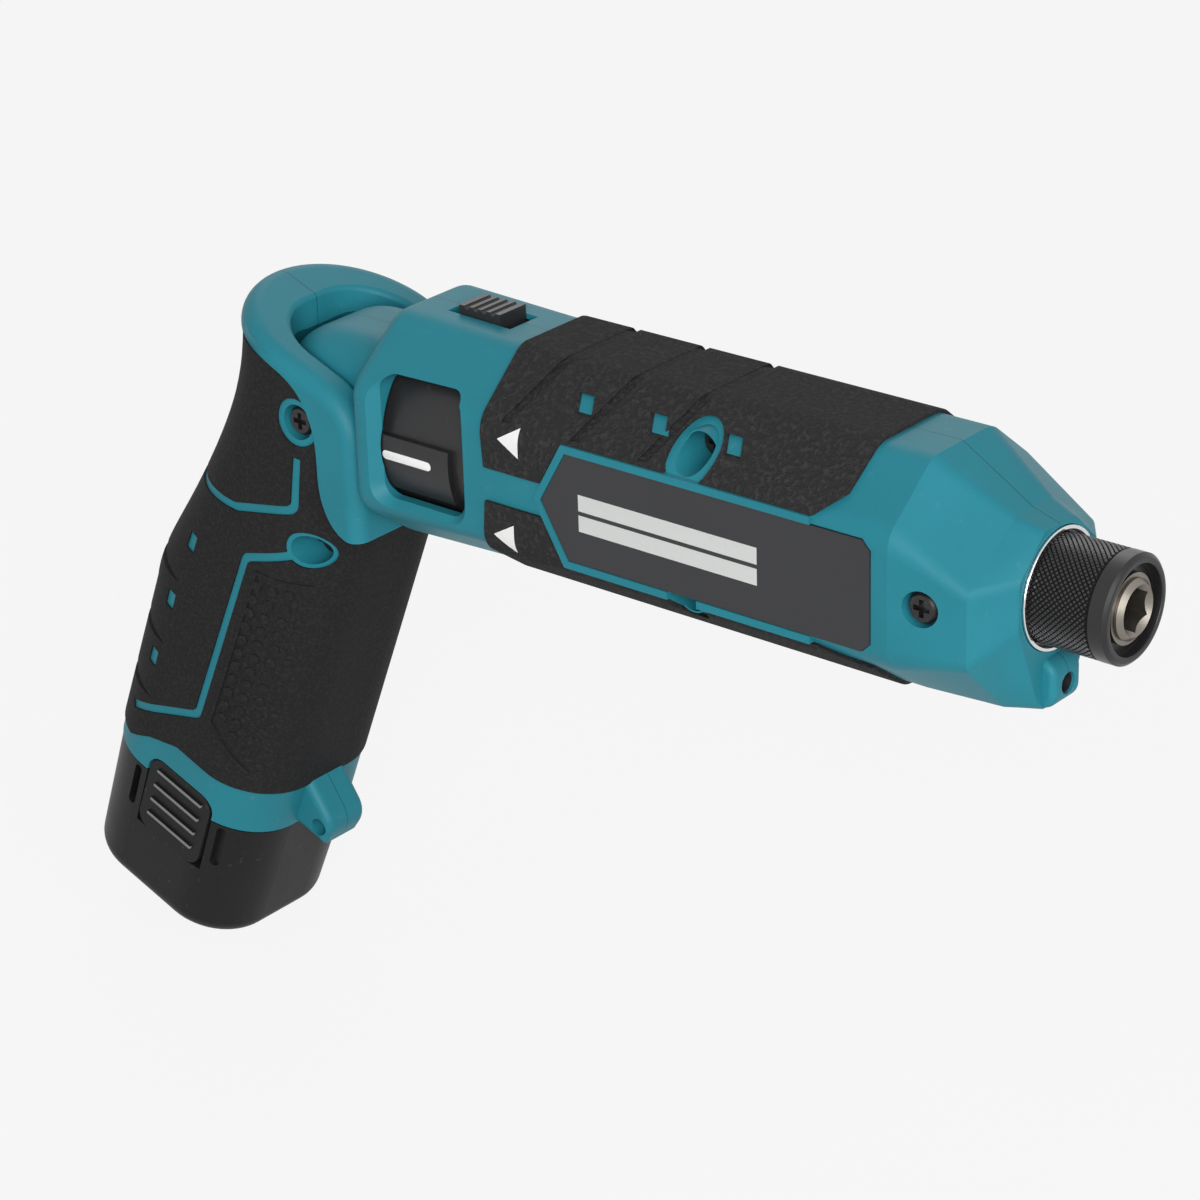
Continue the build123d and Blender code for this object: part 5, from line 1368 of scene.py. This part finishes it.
@dataclass
class Studio:
    """Pale floor, white surroundings and soft lamps round the tool."""

    floor_half: float = 3.0
    floor_greys: Pair = (0.45, 0.48)
    floor_white: float = 0.88
    paper: Grain = Grain(0.05)
    sky: float = 0.28
    lamps: tuple[SoftBox, ...] = (
        SoftBox("key_box", (0.75, -0.95, 0.45), 0.7, 15.0),
        SoftBox("fill_box", (0.9, -0.2, 0.4), 0.5, 2.0),
        SoftBox("rim_box", (-0.6, 0.7, 0.7), 0.6, 1.8),
    )

    def build(self) -> None:
        """Make the floor, the world and the lamps."""
        low, high = cad_box
        middle = (low + high) / 2
        Bench.clear()
        bpy.ops.mesh.primitive_plane_add(size=2 * self.floor_half, location=(middle.x, middle.y, low.z))
        floor = Bench.settle("studio_floor")
        floor.data.materials.append(self._floor_material())
        self._world()
        for lamp in self.lamps:
            data = bpy.data.lights.new(lamp.name, "AREA")
            data.shape = "SQUARE"
            data.size = lamp.width
            data.energy = lamp.watts
            light = bpy.data.objects.new(lamp.name, data)
            bpy.context.scene.collection.objects.link(light)
            stand = Vector(lamp.stand)
            light.location = middle + stand
            light.rotation_euler = (-stand).to_track_quat("-Z", "Y").to_euler()
        bpy.context.scene.view_settings.view_transform = "Standard"

    def _floor_material(self) -> bpy.types.Material:
        """White floor that still takes a faint shadow."""
        made = bpy.data.materials.new("studio_floor")
        graph = Graph(made)
        paper = graph.noise(graph.place(), self.paper)
        dark, pale = tones(WHITE, self.floor_greys)
        matte = graph.add("ShaderNodeBsdfDiffuse", {}, {"Color": graph.mix(paper, dark, pale)})
        glow = graph.add("ShaderNodeEmission", {}, {"Color": graph.rgba(WHITE), "Strength": 1.0})
        share = self._seen(graph) * self.floor_white
        surface = graph.add("ShaderNodeMixShader", {}, {0: share, 1: matte, 2: glow})
        graph.add("ShaderNodeOutputMaterial", {}, {"Surface": surface})
        return made

    @staticmethod
    def _seen(graph: Graph) -> Wire:
        """One for rays that see the studio itself, straight, in a mirror or through a lens."""
        path = graph.add("ShaderNodeLightPath", output="Is Camera Ray")
        mirrored = path.maths("MAXIMUM", path, path.out("Is Glossy Ray"))
        return path.maths("MAXIMUM", mirrored, path.out("Is Transmission Ray"))

    def _world(self) -> None:
        """White where it is seen, a plain soft sky where it lights."""
        world = bpy.data.worlds.new("studio_world")
        graph = Graph(world)
        strength = self.sky + self._seen(graph) * (1.0 - self.sky)
        light = graph.add("ShaderNodeBackground", {}, {"Color": graph.rgba(WHITE), "Strength": strength})
        graph.add("ShaderNodeOutputWorld", {}, {"Surface": light})
        bpy.context.scene.world = world


def main() -> None:
    """Build the scene in order."""
    logging.basicConfig(level=logging.INFO, format="%(name)s: %(message)s")
    dress_nodes()
    for assembly in (ChuckSleeve(), DirectionMarks(), DotPanel(), LatchRibs(), NoseLamp(), *SPRINGS):
        assembly.build()
    Studio().build()
    PhotoCamera().build()


if __name__ == "__main__":
    main()
